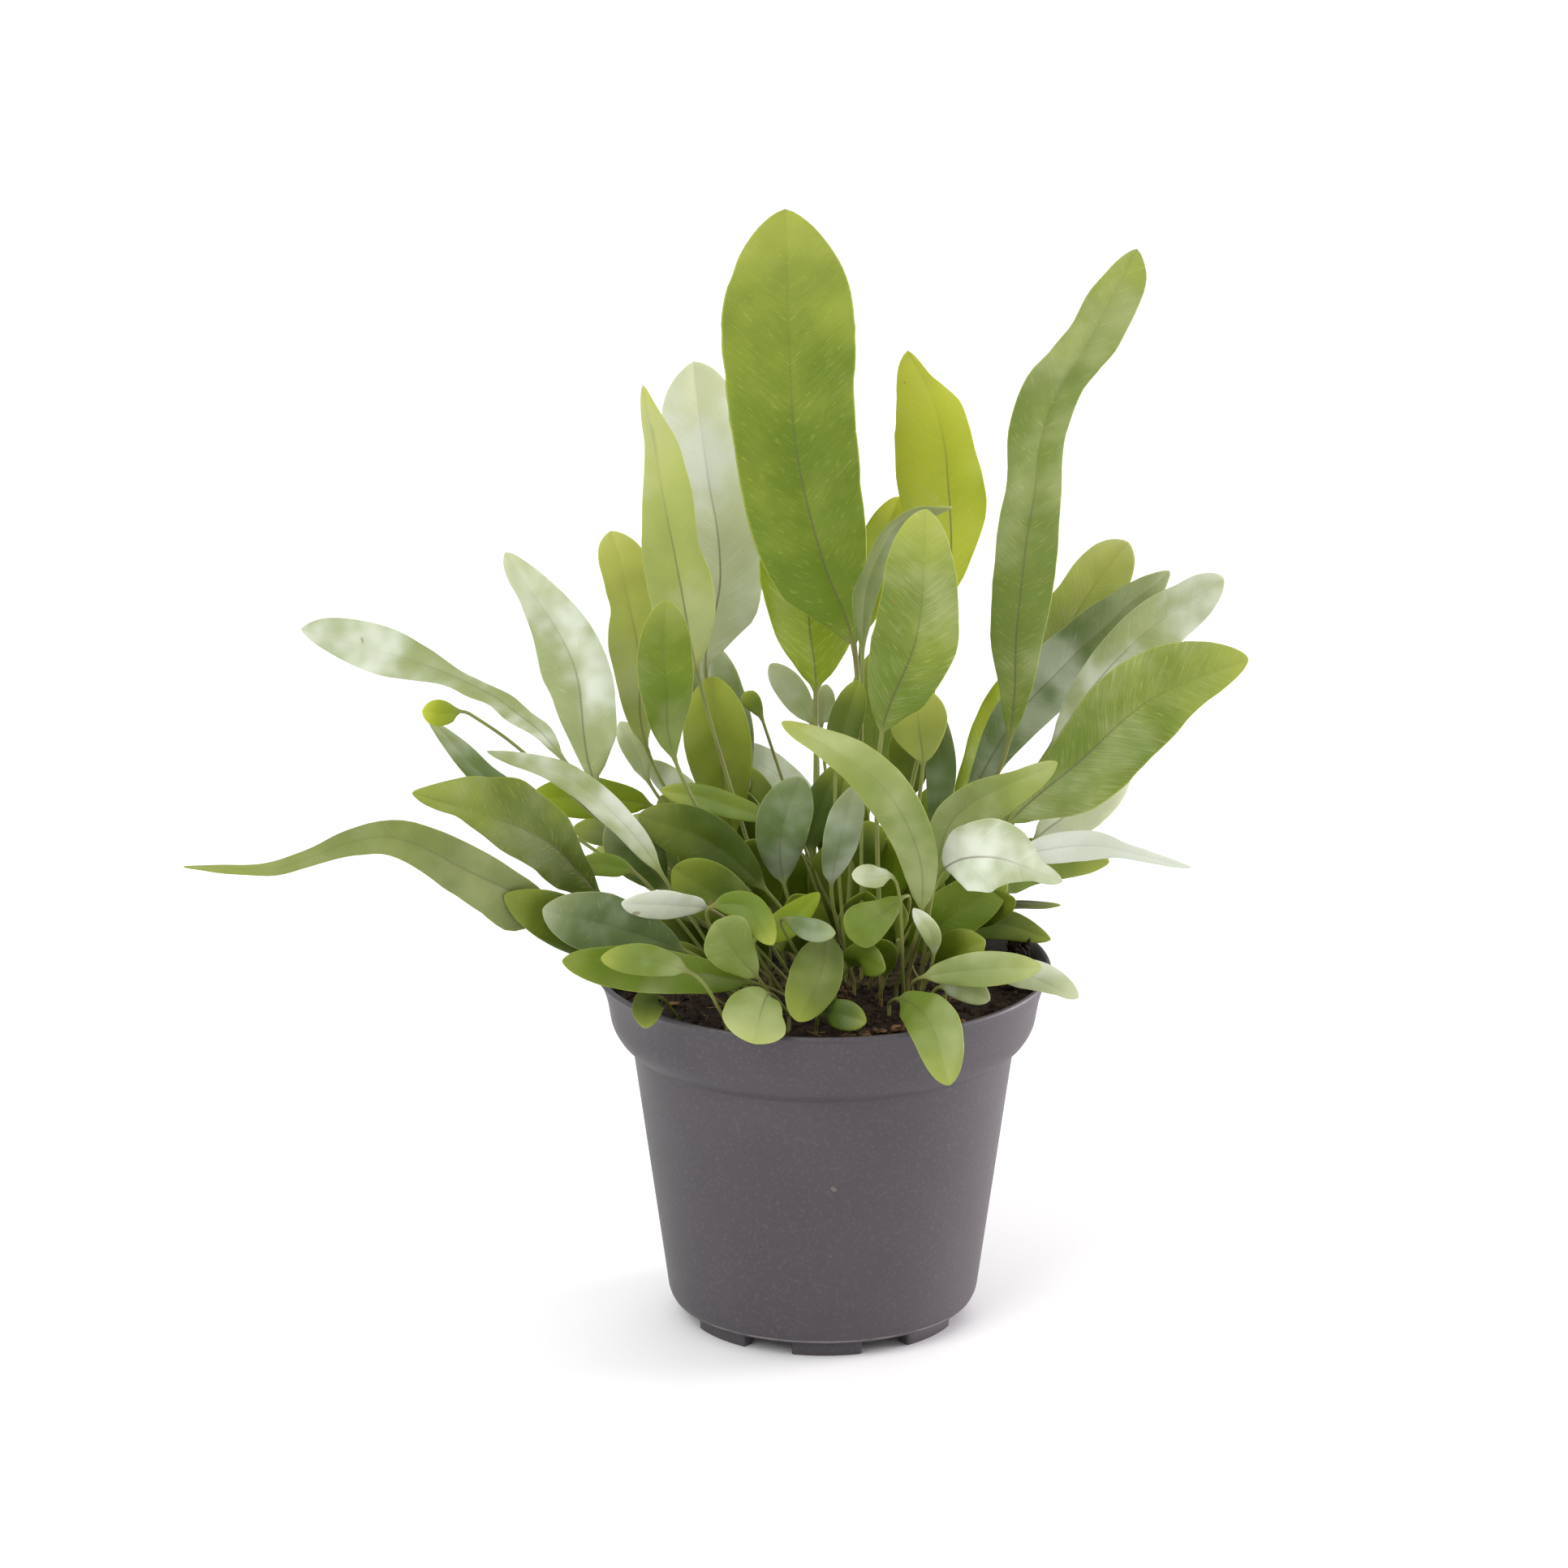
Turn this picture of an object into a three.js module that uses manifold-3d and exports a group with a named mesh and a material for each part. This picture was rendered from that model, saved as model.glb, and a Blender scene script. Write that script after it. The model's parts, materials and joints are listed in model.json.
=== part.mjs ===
/**
 * Blue star fern in a 12 cm nursery pot.
 *
 * Units are millimetres, +Z is up. The origin is the middle of the pot's
 * underside, on the surface the pot stands on, and the plant's front is -Y.
 * The pot, the potting mix, the creeping rhizome and every frond are closed
 * solids of their own, with a small gap wherever two of them meet.
 */
import * as THREE from 'three';
import { mergeVertices } from 'three/addons/utils/BufferGeometryUtils.js';
import Module from 'manifold-3d';

const wasm = await Module();
wasm.setup();

// ---- Driving dimensions --------------------------------------------------

const GAP = 0.3;

const POT = {
  height: 96,
  lipRadius: 60,
  lipDepth: 7.5,
  wall: 1.2,
  collarRadius: 56.8,
  collarDepth: 18.3,
  shoulderDepth: 20.9,
  shoulderRadius: 50.2,
  footRadius: 40.4,
  wallFoot: 4.6,
  sides: 56,
};

const FEET = { count: 7, inner: 32, outer: 36, span: 30, firstAngle: -88.5 };
const CENTRE_FOOT_RADIUS = 14;
const FLOOR = { bottom: 4, top: 5.4 };
const DRAIN = { count: 7, inner: 21, outer: 26, span: 24 };

const MIX = { edgeHeight: 89, crown: 2 };

const RHIZOME = { radius: 4.2, sides: 7, steps: 4, sunk: 1.2 };

const FROND = { stalkRadius: 0.8, thickness: 0.8, fold: 0.1, stalkSteps: 4, bladeSteps: 12 };

// ---- Finishes ------------------------------------------------------------

const finish = (color, roughness) => new THREE.MeshStandardMaterial({ color, roughness, metalness: 0 });

const POT_GREY = finish(0x56525a, 0.62);
const MIX_BROWN = finish(0x2e211a, 0.98);
const RHIZOME_TAN = finish(0x8a7152, 0.9);
const PALE = finish(0xa9b79c, 0.48);
const BRIGHT = finish(0x8fa04a, 0.45);
const SAGE = finish(0x7d9468, 0.46);
const BLUE = finish(0x6d8a7c, 0.45);
const OLIVE = finish(0x4a5a34, 0.5);

// ---- Blade outlines ------------------------------------------------------
// A blade widens from its neck as 1 - (1 - t)^swell and closes in a rounded
// tip as (1 - t^taper)^roundness, so two numbers describe one outline.

const STRAP = { swell: 3, taper: 5 };
const LANCE = { swell: 3, taper: 2.2 };
const FULL = { swell: 2.6, taper: 6 };
const ROUND = { swell: 1.2, taper: 7 };
const BLUNT = { swell: 3, taper: 9 };
const LEAF = { swell: 2.6, taper: 2.8 };
const SPEAR = { swell: 3, taper: 1.5 };
const BUD = { swell: 1.6, taper: 3.5 };
const WHIP = { swell: 6, taper: 1 };
const TIP_ROUNDNESS = 0.65;

// ---- Fronds --------------------------------------------------------------
// root: where the stalk leaves the rhizome, seen from above.
// blade: the midrib from the neck to the tip. turn: how far the blade is
// rolled about its midrib from facing forwards, in degrees, neck to tip.
// left, right: how far that margin bulges past its outline (above 1) or is
// pinched in (below 1), at even steps from the neck to the tip.

const FRONDS = {
  tall_centre: { root: [6, 4],
    blade: [[8, 6, 181], [0, 9, 203], [-7, 12, 232], [-9, 14, 262], [-10, 12, 297]],
    width: 34, outline: FULL, finish: SAGE,
    left: [1.6, 1.6, 1.26, 0.98, 0.99, 1.12, 1.15], right: [1.4, 1.3, 1.08, 1, 0.97, 1.16, 1.15] },
  behind_centre: { root: [-3, 12], blade: [[-2, 24, 164], [-4, 30, 190], [-6, 34, 219]],
    width: 23, outline: STRAP, turn: [25], finish: BRIGHT,
    left: [1.5, 1.5, 1.25, 1.2, 1.2, 1.1, 1], right: [1.8, 1.8, 1.35, 1.15, 1, 1, 1] },
  back_left_pale: { root: [-8, 19], blade: [[-31, 38, 165], [-27, 43, 190], [-31, 47, 220], [-34, 48, 247]],
    width: 25, outline: FULL, turn: [10, 20], finish: PALE,
    left: [1.2, 1.2, 1, 1, 1, 1.05, 1.15], right: [1.8, 1.8, 1.2, 1.05, 1, 1, 1.1] },
  left_upright: { root: [-10, 7], blade: [[-33, 14, 172], [-39, 16, 205], [-47, 20, 248]],
    width: 20, outline: SPEAR, turn: [-10, -15], finish: SAGE,
    left: [1.2, 1.25, 0.96, 0.87, 0.64, 0.4, 0.6], right: [1.2, 1.17, 0.95, 0.7, 0.92, 0.98, 0.7] },
  left_behind: { root: [-12, 21], blade: [[-46, 32, 144], [-49, 36, 174], [-56, 40, 203]],
    width: 19, outline: FULL, turn: [15], finish: SAGE,
    left: [1, 1, 1, 0.93, 0.55, 0.68, 1.1] },
  left_spoon: { root: [-5, -5], blade: [[-38, -8, 153], [-41, -10, 176], [-41, -11, 199]],
    width: 15, outline: STRAP, turn: [15], finish: SAGE },
  left_pale: { root: [-14, 5], blade: [[-59, 0, 145], [-65, 7, 176], [-83, 16, 204]],
    width: 20, outline: LEAF, turn: [-15, -5], finish: PALE,
    left: [0.8, 0.7, 0.85, 0.9, 0.67, 0.5, 0.8], right: [1.8, 1.7, 1.1, 0.9, 0.82, 0.73, 0.8] },
  far_left: { root: [-18, 10], blade: [[-63, 20, 140], [-78, 35, 152], [-98, 50, 160], [-139, 64, 169]],
    width: 16, outline: ROUND, turn: [40, 50, 20, 0], finish: PALE,
    left: [1, 1, 1, 0.6, 0.45, 0.85, 0.6], right: [1, 1, 1, 0.45, 0.3, 0.9, 1.1] },
  left_bud: { root: [-17, 0], blade: [[-92, -10, 168], [-98, -13, 169], [-104, -15, 170]],
    width: 7, outline: BUD, finish: BRIGHT },
  left_edge: { root: [-21, 13], blade: [[-72, 25, 128], [-88, 40, 134], [-105, 56, 146]],
    width: 10, outline: LANCE, turn: [45], finish: BLUE },
  long_pale_strap: { root: [-22, -18],
    blade: [[-39, -24, 124], [-50, -24, 140], [-68, -24, 156], [-87, -24, 162]],
    width: 8, outline: LANCE, turn: [30], finish: PALE },
  left_yellow_strap: { root: [-14, 14], blade: [[-43, 17, 133], [-59, 12, 138], [-77, 6, 140]],
    width: 11, outline: STRAP, finish: BRIGHT },
  front_left_upper: { root: [-20, -12], blade: [[-56, -30, 123], [-72, -45, 145], [-105, -60, 162]],
    width: 20, outline: STRAP, turn: [15], finish: OLIVE,
    left: [1, 1, 1.05, 0.85, 0.75, 0.3, 0.5], right: [0.7, 0.6, 0.65, 0.93, 1.15, 1, 0.6] },
  centre_left_olive: { root: [1, -4], blade: [[-14, -8, 118], [-30, -13, 134], [-48, -18, 143]],
    width: 14, outline: STRAP, finish: OLIVE },
  front_left_long: { root: [-20, -24],
    blade: [[-68, -48, 126], [-88, -61, 140], [-112, -72, 154], [-140, -80, 148], [-162, -84, 150]],
    width: 19, outline: WHIP, turn: [0, 0, 20, 60], finish: OLIVE,
    left: [2.4, 1.05, 0.65, 0.55, 0.35, 0.4, 0.6], right: [0.8, 0.65, 0.68, 0.5, 0.35, 0.35, 0.5] },
  front_left_grey: { root: [-14, -28], blade: [[-35, -38, 112], [-54, -50, 123], [-72, -60, 131]],
    width: 16, outline: STRAP, turn: [-10], finish: BLUE },
  rim_left_broad: { root: [-8, -25], blade: [[-17, -34, 102], [-41, -52, 112], [-67, -66, 119]],
    width: 13, outline: STRAP, finish: SAGE,
    right: [1, 1, 0.8, 0.8, 0.8, 0.8, 1] },
  rim_left_small: { root: [-25, -44], blade: [[-33, -57, 112], [-44, -63, 118], [-57, -70, 121]],
    width: 8, outline: STRAP, finish: SAGE },
  curled_round: { root: [-12, -34], blade: [[-16, -45, 106], [-22, -53, 116], [-28, -58, 127]],
    width: 14, outline: ROUND, turn: [10], finish: SAGE },
  pale_spoon: { root: [-7, -17], blade: [[-28, -35, 122], [-39, -43, 127], [-52, -52, 130]],
    width: 9, outline: STRAP, turn: [-30], finish: PALE },
  curled_strap: { root: [-17, -22], blade: [[-30, -42, 125], [-20, -46, 127], [-13, -50, 118]],
    width: 8, outline: STRAP, finish: SAGE },
  rim_bright: { root: [-9, -37], blade: [[-14, -48, 104], [-16, -57, 103], [-18, -67, 97]],
    width: 17, outline: ROUND, finish: SAGE,
    left: [1.3, 1.2, 1, 0.85, 0.85, 0.85, 0.8], right: [1.6, 1.5, 1.15, 1] },
  front_centre_down: { root: [3, -22], blade: [[1, -34, 115], [-1, -45, 108], [-7, -55, 99]],
    width: 15, outline: STRAP, finish: OLIVE,
    left: [1.4, 1.2, 1, 1], right: [1.3, 1.1, 0.85, 0.78, 0.75, 0.7, 0.7] },
  arching_front: { root: [19, -14],
    blade: [[25, -35, 121], [24, -46, 142], [15, -52, 161], [3, -50, 170], [-11, -44, 176]],
    width: 14, outline: STRAP, turn: [0, 0, 0, 40], finish: SAGE,
    left: [1.6, 1.4, 1, 0.95, 0.65, 0.6, 0.8], right: [1.5, 1.2, 0.95, 0.9, 0.8, 0.7, 0.8] },
  dark_tall_left: { root: [-4, 10], blade: [[-23, 19, 124], [-27, 18, 147], [-29, 17, 170]],
    width: 18, outline: STRAP, turn: [-10], finish: OLIVE },
  behind_pale: { root: [1, 25], blade: [[-1, 45, 124], [-12, 55, 131], [-25, 62, 137]],
    width: 10, outline: STRAP, finish: PALE },
  centre_grey: { root: [-1, 0], blade: [[-10, -3, 118], [-11, -5, 134], [-6, -4, 149]],
    width: 14, outline: STRAP, finish: BLUE },
  centre_olive_narrow: { root: [10, 8], blade: [[-3, 9, 122], [-1, 11, 135], [5, 14, 148]],
    width: 9, outline: LANCE, finish: OLIVE },
  grey_strap: { root: [8, -11], blade: [[2, -22, 123], [4, -29, 139], [8, -34, 156]],
    width: 10, outline: STRAP, turn: [20], finish: BLUE },
  centre_dark: { root: [13, 1], blade: [[11, 0, 117], [11, -1, 127], [12, -1, 136]],
    width: 10.5, outline: ROUND, finish: OLIVE },
  centre_round: { root: [15, -18], blade: [[22, -25, 123], [14, -32, 120], [6, -37, 116]],
    width: 11.5, outline: ROUND, finish: SAGE },
  right_wavy: { root: [22, -7], blade: [[28, -16, 120], [34, -23, 144], [60, -30, 161]],
    width: 16, outline: STRAP, turn: [10], finish: SAGE,
    left: [0.9, 0.8, 0.65, 0.65, 0.6, 0.4, 0.6], right: [1, 1, 1, 1, 1, 0.8, 0.8] },
  white_spoon: { root: [25, -15], blade: [[31, -36, 134], [43, -45, 140], [61, -53, 136]],
    width: 20, outline: LEAF, finish: PALE,
    left: [1.5, 1.4, 1.05, 1, 0.85, 0.4, 0.5], right: [1.5, 1.45, 1.05, 0.9, 0.6, 0.35, 0.5] },
  right_pale_low: { root: [34, 0], blade: [[48, 4, 123], [70, 8, 126], [97, 12, 119]],
    width: 11, outline: LANCE, turn: [30], finish: PALE,
    left: [1, 1.1, 1, 0.85, 0.5, 0.45, 0.6], right: [1, 1.1, 1, 0.85, 0.5, 0.45, 0.6] },
  big_right: { root: [26, 3], blade: [[48, 4, 133], [66, 6, 149], [85, 8, 166], [111, 10, 177]],
    width: 22, outline: STRAP, turn: [-10, 0], finish: SAGE,
    left: [1, 1, 0.9, 1.05, 1.1, 1.15, 1.1], right: [1.6, 1.6, 1.45, 1.15, 1.05, 0.75, 0.7] },
  right_yellow: { root: [31, 10], blade: [[55, 18, 124], [67, 25, 132], [81, 33, 143]],
    width: 16, outline: STRAP, turn: [10], finish: PALE },
  right_blue: { root: [27, 16], blade: [[59, 27, 146], [80, 38, 171], [106, 48, 188]],
    width: 17, outline: STRAP, turn: [15], finish: PALE,
    left: [1, 1, 0.85, 0.85, 0.85, 0.8, 1.2] },
  right_grey_tall: { root: [21, 18], blade: [[37, 24, 131], [52, 34, 155], [70, 44, 171], [92, 54, 188]],
    width: 18, outline: STRAP, turn: [0, 20, 50], finish: BLUE },
  back_right_broad: { root: [17, 23], blade: [[53, 46, 151], [64, 52, 172], [81, 58, 195]],
    width: 21, outline: FULL, turn: [20], finish: SAGE,
    left: [1, 1, 1, 1, 0.85, 0.95, 1.1], right: [1.6, 1.6, 1.4, 1.15, 1.05, 0.88, 0.9] },
  right_tall: { root: [18, 6],
    blade: [[48, 8, 153], [50, 6, 182], [53, 3, 214], [58, 0, 246], [68, -4, 266], [80, -6, 291]],
    width: 20, outline: BLUNT, turn: [0, 0, 20, 40, 10], finish: SAGE,
    left: [1.3, 1.34, 1.02, 0.95, 1.2, 0.85, 0.8], right: [1.3, 1.38, 1.14, 0.74, 0.62, 0.9, 1.2] },
  back_pointed: { root: [13, 14], blade: [[33, 28, 188], [33, 34, 214], [30, 38, 237], [22, 40, 252]],
    width: 25, outline: LEAF, turn: [-10, -20], finish: BRIGHT,
    left: [1.6, 1.5, 1.3, 1.1, 0.95, 0.93, 1], right: [1.3, 1.2, 1.03, 0.65, 0.58, 0.25, 0.3] },
  back_yellow: { root: [10, 26], blade: [[10, 46, 169], [14, 52, 190], [20, 56, 208]],
    width: 13, outline: STRAP, turn: [20], finish: BRIGHT },
  front_spoon: { root: [15, -6], blade: [[15, -15, 164], [24, -20, 192], [26, -24, 227]],
    width: 22, outline: STRAP, turn: [-10], finish: SAGE,
    left: [1.3, 1.4, 1.25, 1.08, 0.97, 1, 1], right: [1.4, 1.45, 1.12, 1.04, 0.85, 0.83, 0.85] },
  arched_edge: { root: [10, -3], blade: [[10, -7, 179], [11, -7, 200], [20, -8, 220], [33, -12, 224]],
    width: 11, outline: STRAP, turn: [20, 60, 80], finish: BLUE },
  centre_narrow: { root: [6, -3], blade: [[3, -9, 149], [5, -10, 163], [9, -10, 177]],
    width: 9, outline: STRAP, finish: OLIVE },
  behind_peek: { root: [-4, 30], blade: [[-2, 50, 144], [-7, 57, 152], [-14, 62, 160]],
    width: 8, outline: STRAP, finish: PALE },
  behind_spoon: { root: [17, 9], blade: [[26, 10, 147], [25, 10, 158], [24, 9, 170]],
    width: 15, outline: STRAP, finish: SAGE },
  right_dark: { root: [12, 22], blade: [[23, 27, 132], [23, 28, 143], [22, 26, 155]],
    width: 11, outline: STRAP, finish: OLIVE },
  right_blue_narrow: { root: [21, 12], blade: [[28, 15, 125], [31, 16, 142], [29, 16, 163]],
    width: 8, outline: STRAP, finish: BLUE },
  rim_right_light: { root: [23, -24], blade: [[24, -36, 104], [38, -43, 109], [56, -50, 112]],
    width: 9, outline: STRAP, finish: SAGE },
  rim_right_pale: { root: [32, -14], blade: [[42, -24, 102], [53, -30, 103], [66, -36, 99]],
    width: 9, outline: STRAP, finish: PALE,
    right: [1, 1, 1, 0.8, 0.65, 0.5, 0.7] },
  rim_right_back: { root: [33, 6], blade: [[36, 8, 101], [46, 10, 104], [60, 12, 99]],
    width: 8, outline: LANCE, finish: OLIVE },
  front_drop: { root: [17, -28], blade: [[19, -37, 99], [23, -48, 101], [28, -61, 99], [32, -68, 86]],
    width: 14.5, outline: STRAP, finish: SAGE,
    left: [0.8, 0.7, 0.75, 0.9, 1, 1, 1], right: [1, 1, 0.8, 0.8, 0.85, 0.9, 1] },
  left_grey_broad: { root: [-14, -8], blade: [[-40, -13, 120], [-48, -16, 131], [-56, -19, 141]],
    width: 14, outline: STRAP, finish: BLUE },
  left_low_dark: { root: [-8, -9], blade: [[-17, -18, 112], [-27, -23, 122], [-39, -26, 131]],
    width: 15, outline: STRAP, finish: OLIVE },
  back_rim_left: { root: [-18, 27], blade: [[-30, 42, 112], [-44, 58, 116], [-58, 72, 108]],
    width: 15, outline: STRAP, turn: [60, 70], finish: SAGE },
  back_rim_right: { root: [18, 33], blade: [[24, 46, 110], [32, 62, 115], [42, 80, 107]],
    width: 16, outline: STRAP, turn: [60, 70], finish: BLUE },
};

// ---- Solids and booleans -------------------------------------------------

/** A closed three.js geometry as a manifold solid. */
function toSolid(geometry) {
  const bare = geometry.clone();
  bare.deleteAttribute('normal');
  bare.deleteAttribute('uv');
  const merged = mergeVertices(bare, 1e-4);
  const vertProperties = new Float32Array(merged.attributes.position.array);
  const triVerts = new Uint32Array(merged.index.array);
  return new wasm.Manifold(new wasm.Mesh({ numProp: 3, vertProperties, triVerts }));
}

/** A manifold solid as a three.js geometry. */
function toGeometry(solid) {
  const mesh = solid.getMesh();
  const geometry = new THREE.BufferGeometry();
  geometry.setAttribute('position', new THREE.BufferAttribute(new Float32Array(mesh.vertProperties), 3));
  geometry.setIndex(new THREE.BufferAttribute(new Uint32Array(mesh.triVerts), 1));
  geometry.computeVertexNormals();
  return geometry;
}

/** Spins [radius, height] points about +Z. */
function spun(points, sides) {
  const outline = points.map(([radius, height]) => new THREE.Vector2(radius, height));
  return new THREE.LatheGeometry(outline, sides).rotateX(Math.PI / 2);
}

/** A block with the outline of part of a ring, standing on z = bottom. */
function ringBlock(inner, outer, middle, span, bottom, top) {
  const start = THREE.MathUtils.degToRad(middle - span / 2);
  const end = THREE.MathUtils.degToRad(middle + span / 2);
  const outline = new THREE.Shape();
  outline.absarc(0, 0, outer, start, end, false);
  outline.absarc(0, 0, inner, end, start, true);
  outline.closePath();
  const settings = { depth: top - bottom, bevelEnabled: false, curveSegments: 5 };
  return new THREE.ExtrudeGeometry(outline, settings).translate(0, 0, bottom);
}

// ---- Pot -----------------------------------------------------------------

/** Radius of the pot's tapering wall at a height below the shoulder. */
function wallRadius(height) {
  const shoulder = POT.height - POT.shoulderDepth;
  const share = (height - POT.wallFoot) / (shoulder - POT.wallFoot);
  return THREE.MathUtils.lerp(POT.footRadius, POT.shoulderRadius, share);
}

/** Flared lip, collar, shoulder and tapering wall as one thin turned shell. */
function potShell() {
  const { height, lipRadius, lipDepth, wall, collarRadius, collarDepth, shoulderDepth } = POT;
  const shoulder = height - shoulderDepth;
  const collarFoot = height - collarDepth;
  const collarFootRadius = collarRadius - 3;
  const outside = [
    [0, FLOOR.bottom],
    [POT.footRadius - 4, FLOOR.bottom],
    [POT.footRadius - 1.6, POT.wallFoot],
    [wallRadius(POT.wallFoot + 2), POT.wallFoot + 2],
    [wallRadius(shoulder / 2), shoulder / 2],
    [POT.shoulderRadius, shoulder],
    [collarFootRadius - 1, collarFoot],
    [collarFootRadius + 1.7, collarFoot + 3.2],
    [collarRadius, height - lipDepth],
    [collarRadius + 0.9, height - lipDepth / 2],
    [lipRadius - 0.8, height - 1.3],
    [lipRadius, height - 0.6],
    [lipRadius - 0.4, height],
    [lipRadius - 1.3, height],
  ];
  const inside = [
    [collarRadius + 0.9 - wall, height - lipDepth / 2],
    [collarRadius - wall, height - lipDepth - 0.5],
    [collarFootRadius - wall + 0.8, collarFoot + 3],
    [POT.shoulderRadius - wall, shoulder + wall],
    [wallRadius(shoulder / 2) - wall, shoulder / 2],
    [wallRadius(FLOOR.top + 2) - wall, FLOOR.top + 2],
    [POT.footRadius - 3, FLOOR.top],
    [0, FLOOR.top],
  ];
  return spun([...outside, ...inside], POT.sides);
}

/** The pot with its ring of feet, its centre foot and its drain slots. */
function potGeometry() {
  let pot = toSolid(potShell());
  for (let i = 0; i < FEET.count; i += 1) {
    const middle = FEET.firstAngle + (i * 360) / FEET.count;
    const foot = ringBlock(FEET.inner, FEET.outer, middle, FEET.span, 0, FLOOR.bottom + 0.5);
    pot = pot.add(toSolid(foot));
  }
  const pad = new THREE.CylinderGeometry(CENTRE_FOOT_RADIUS, CENTRE_FOOT_RADIUS, FLOOR.bottom + 0.5, 32);
  pot = pot.add(toSolid(pad.rotateX(Math.PI / 2).translate(0, 0, (FLOOR.bottom + 0.5) / 2)));
  for (let i = 0; i < DRAIN.count; i += 1) {
    const middle = FEET.firstAngle + ((i + 0.5) * 360) / DRAIN.count;
    const slot = ringBlock(DRAIN.inner, DRAIN.outer, middle, DRAIN.span, FLOOR.bottom - 1, FLOOR.top + 1);
    pot = pot.subtract(toSolid(slot));
  }
  return toGeometry(pot);
}

// ---- Potting mix and rhizome ---------------------------------------------

/** Height of the potting mix at a distance from the pot's axis. */
function mixHeight(radius) {
  return MIX.edgeHeight + MIX.crown * (1 - (radius / POT.collarRadius) ** 2);
}

/** The rhizome's creeping arms: a middle length with an arm to each side. */
const RHIZOME_ARMS = [
  [[-20, 3], [-9, -1], [2, 2], [13, -2], [22, 3]],
  [[2, 2], [-1, -11], [-6, -22]],
  [[4, 2], [6, 12], [2, 21]],
];

/** Tubes along the rhizome's arms, round at their ends, joined in one solid. */
function rhizomeSolid(radius) {
  let rhizome = null;
  for (const arm of RHIZOME_ARMS) {
    const height = mixHeight(0) - RHIZOME.sunk;
    const route = new THREE.CatmullRomCurve3(arm.map(([x, y]) => new THREE.Vector3(x, y, height)));
    const section = new THREE.Shape().absarc(0, 0, radius, 0, Math.PI * 2, false);
    const settings = { steps: RHIZOME.steps, extrudePath: route, curveSegments: RHIZOME.sides };
    settings.bevelEnabled = false;
    const pieces = [new THREE.ExtrudeGeometry(section, settings)];
    for (const [x, y] of [arm[0], arm.at(-1)]) {
      pieces.push(new THREE.SphereGeometry(radius * 1.05, RHIZOME.sides, 5).translate(x, y, height));
    }
    for (const piece of pieces) {
      const solid = toSolid(piece);
      rhizome = rhizome ? rhizome.add(solid) : solid;
    }
  }
  return rhizome;
}

/** The potting mix: fills the pot, domed on top, with a bed for the rhizome. */
function mixGeometry() {
  const { shoulderDepth, collarDepth, collarRadius, wall } = POT;
  const shoulder = POT.height - shoulderDepth;
  const inset = wall + GAP;
  const side = [
    [0, FLOOR.top + GAP],
    [POT.footRadius - 4, FLOOR.top + GAP],
    [wallRadius(FLOOR.top + 3) - inset - 0.6, FLOOR.top + 3],
    [wallRadius(shoulder / 2) - inset, shoulder / 2],
    [POT.shoulderRadius - inset, shoulder + wall],
    [collarRadius - 3 - inset, POT.height - collarDepth + 3.4],
    [collarRadius - 1.1 - inset, mixHeight(collarRadius)],
  ];
  const top = [44, 32, 18, 0].map((radius) => [radius, mixHeight(radius)]);
  const mix = toSolid(spun([...side, ...top], 40));
  return toGeometry(mix.subtract(rhizomeSolid(RHIZOME.radius + GAP)));
}

// ---- Fronds --------------------------------------------------------------

/** Where a stalk starts, just clear of the rhizome and of the mix. */
function rootPoint([x, y]) {
  const clear = RHIZOME.radius - RHIZOME.sunk + FROND.stalkRadius;
  return new THREE.Vector3(x, y, mixHeight(0) + clear);
}

/** Share of the blade's full width at t, from 0 at its neck to 1 at its tip. */
function outlineShare({ swell, taper }, t) {
  const share = (at) => (1 - (1 - at) ** swell) * (1 - at ** taper) ** TIP_ROUNDNESS;
  const widest = Math.max(...Array.from({ length: 19 }, (_, i) => share((i + 1) / 20)));
  return share(t) / widest;
}

/** A value read off a list spread evenly from 0 to 1. */
function along(list, t) {
  const place = t * (list.length - 1);
  const before = Math.min(Math.floor(place), list.length - 2);
  return list.length === 1 ? list[0] : THREE.MathUtils.lerp(list[before], list[before + 1], place - before);
}

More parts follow.
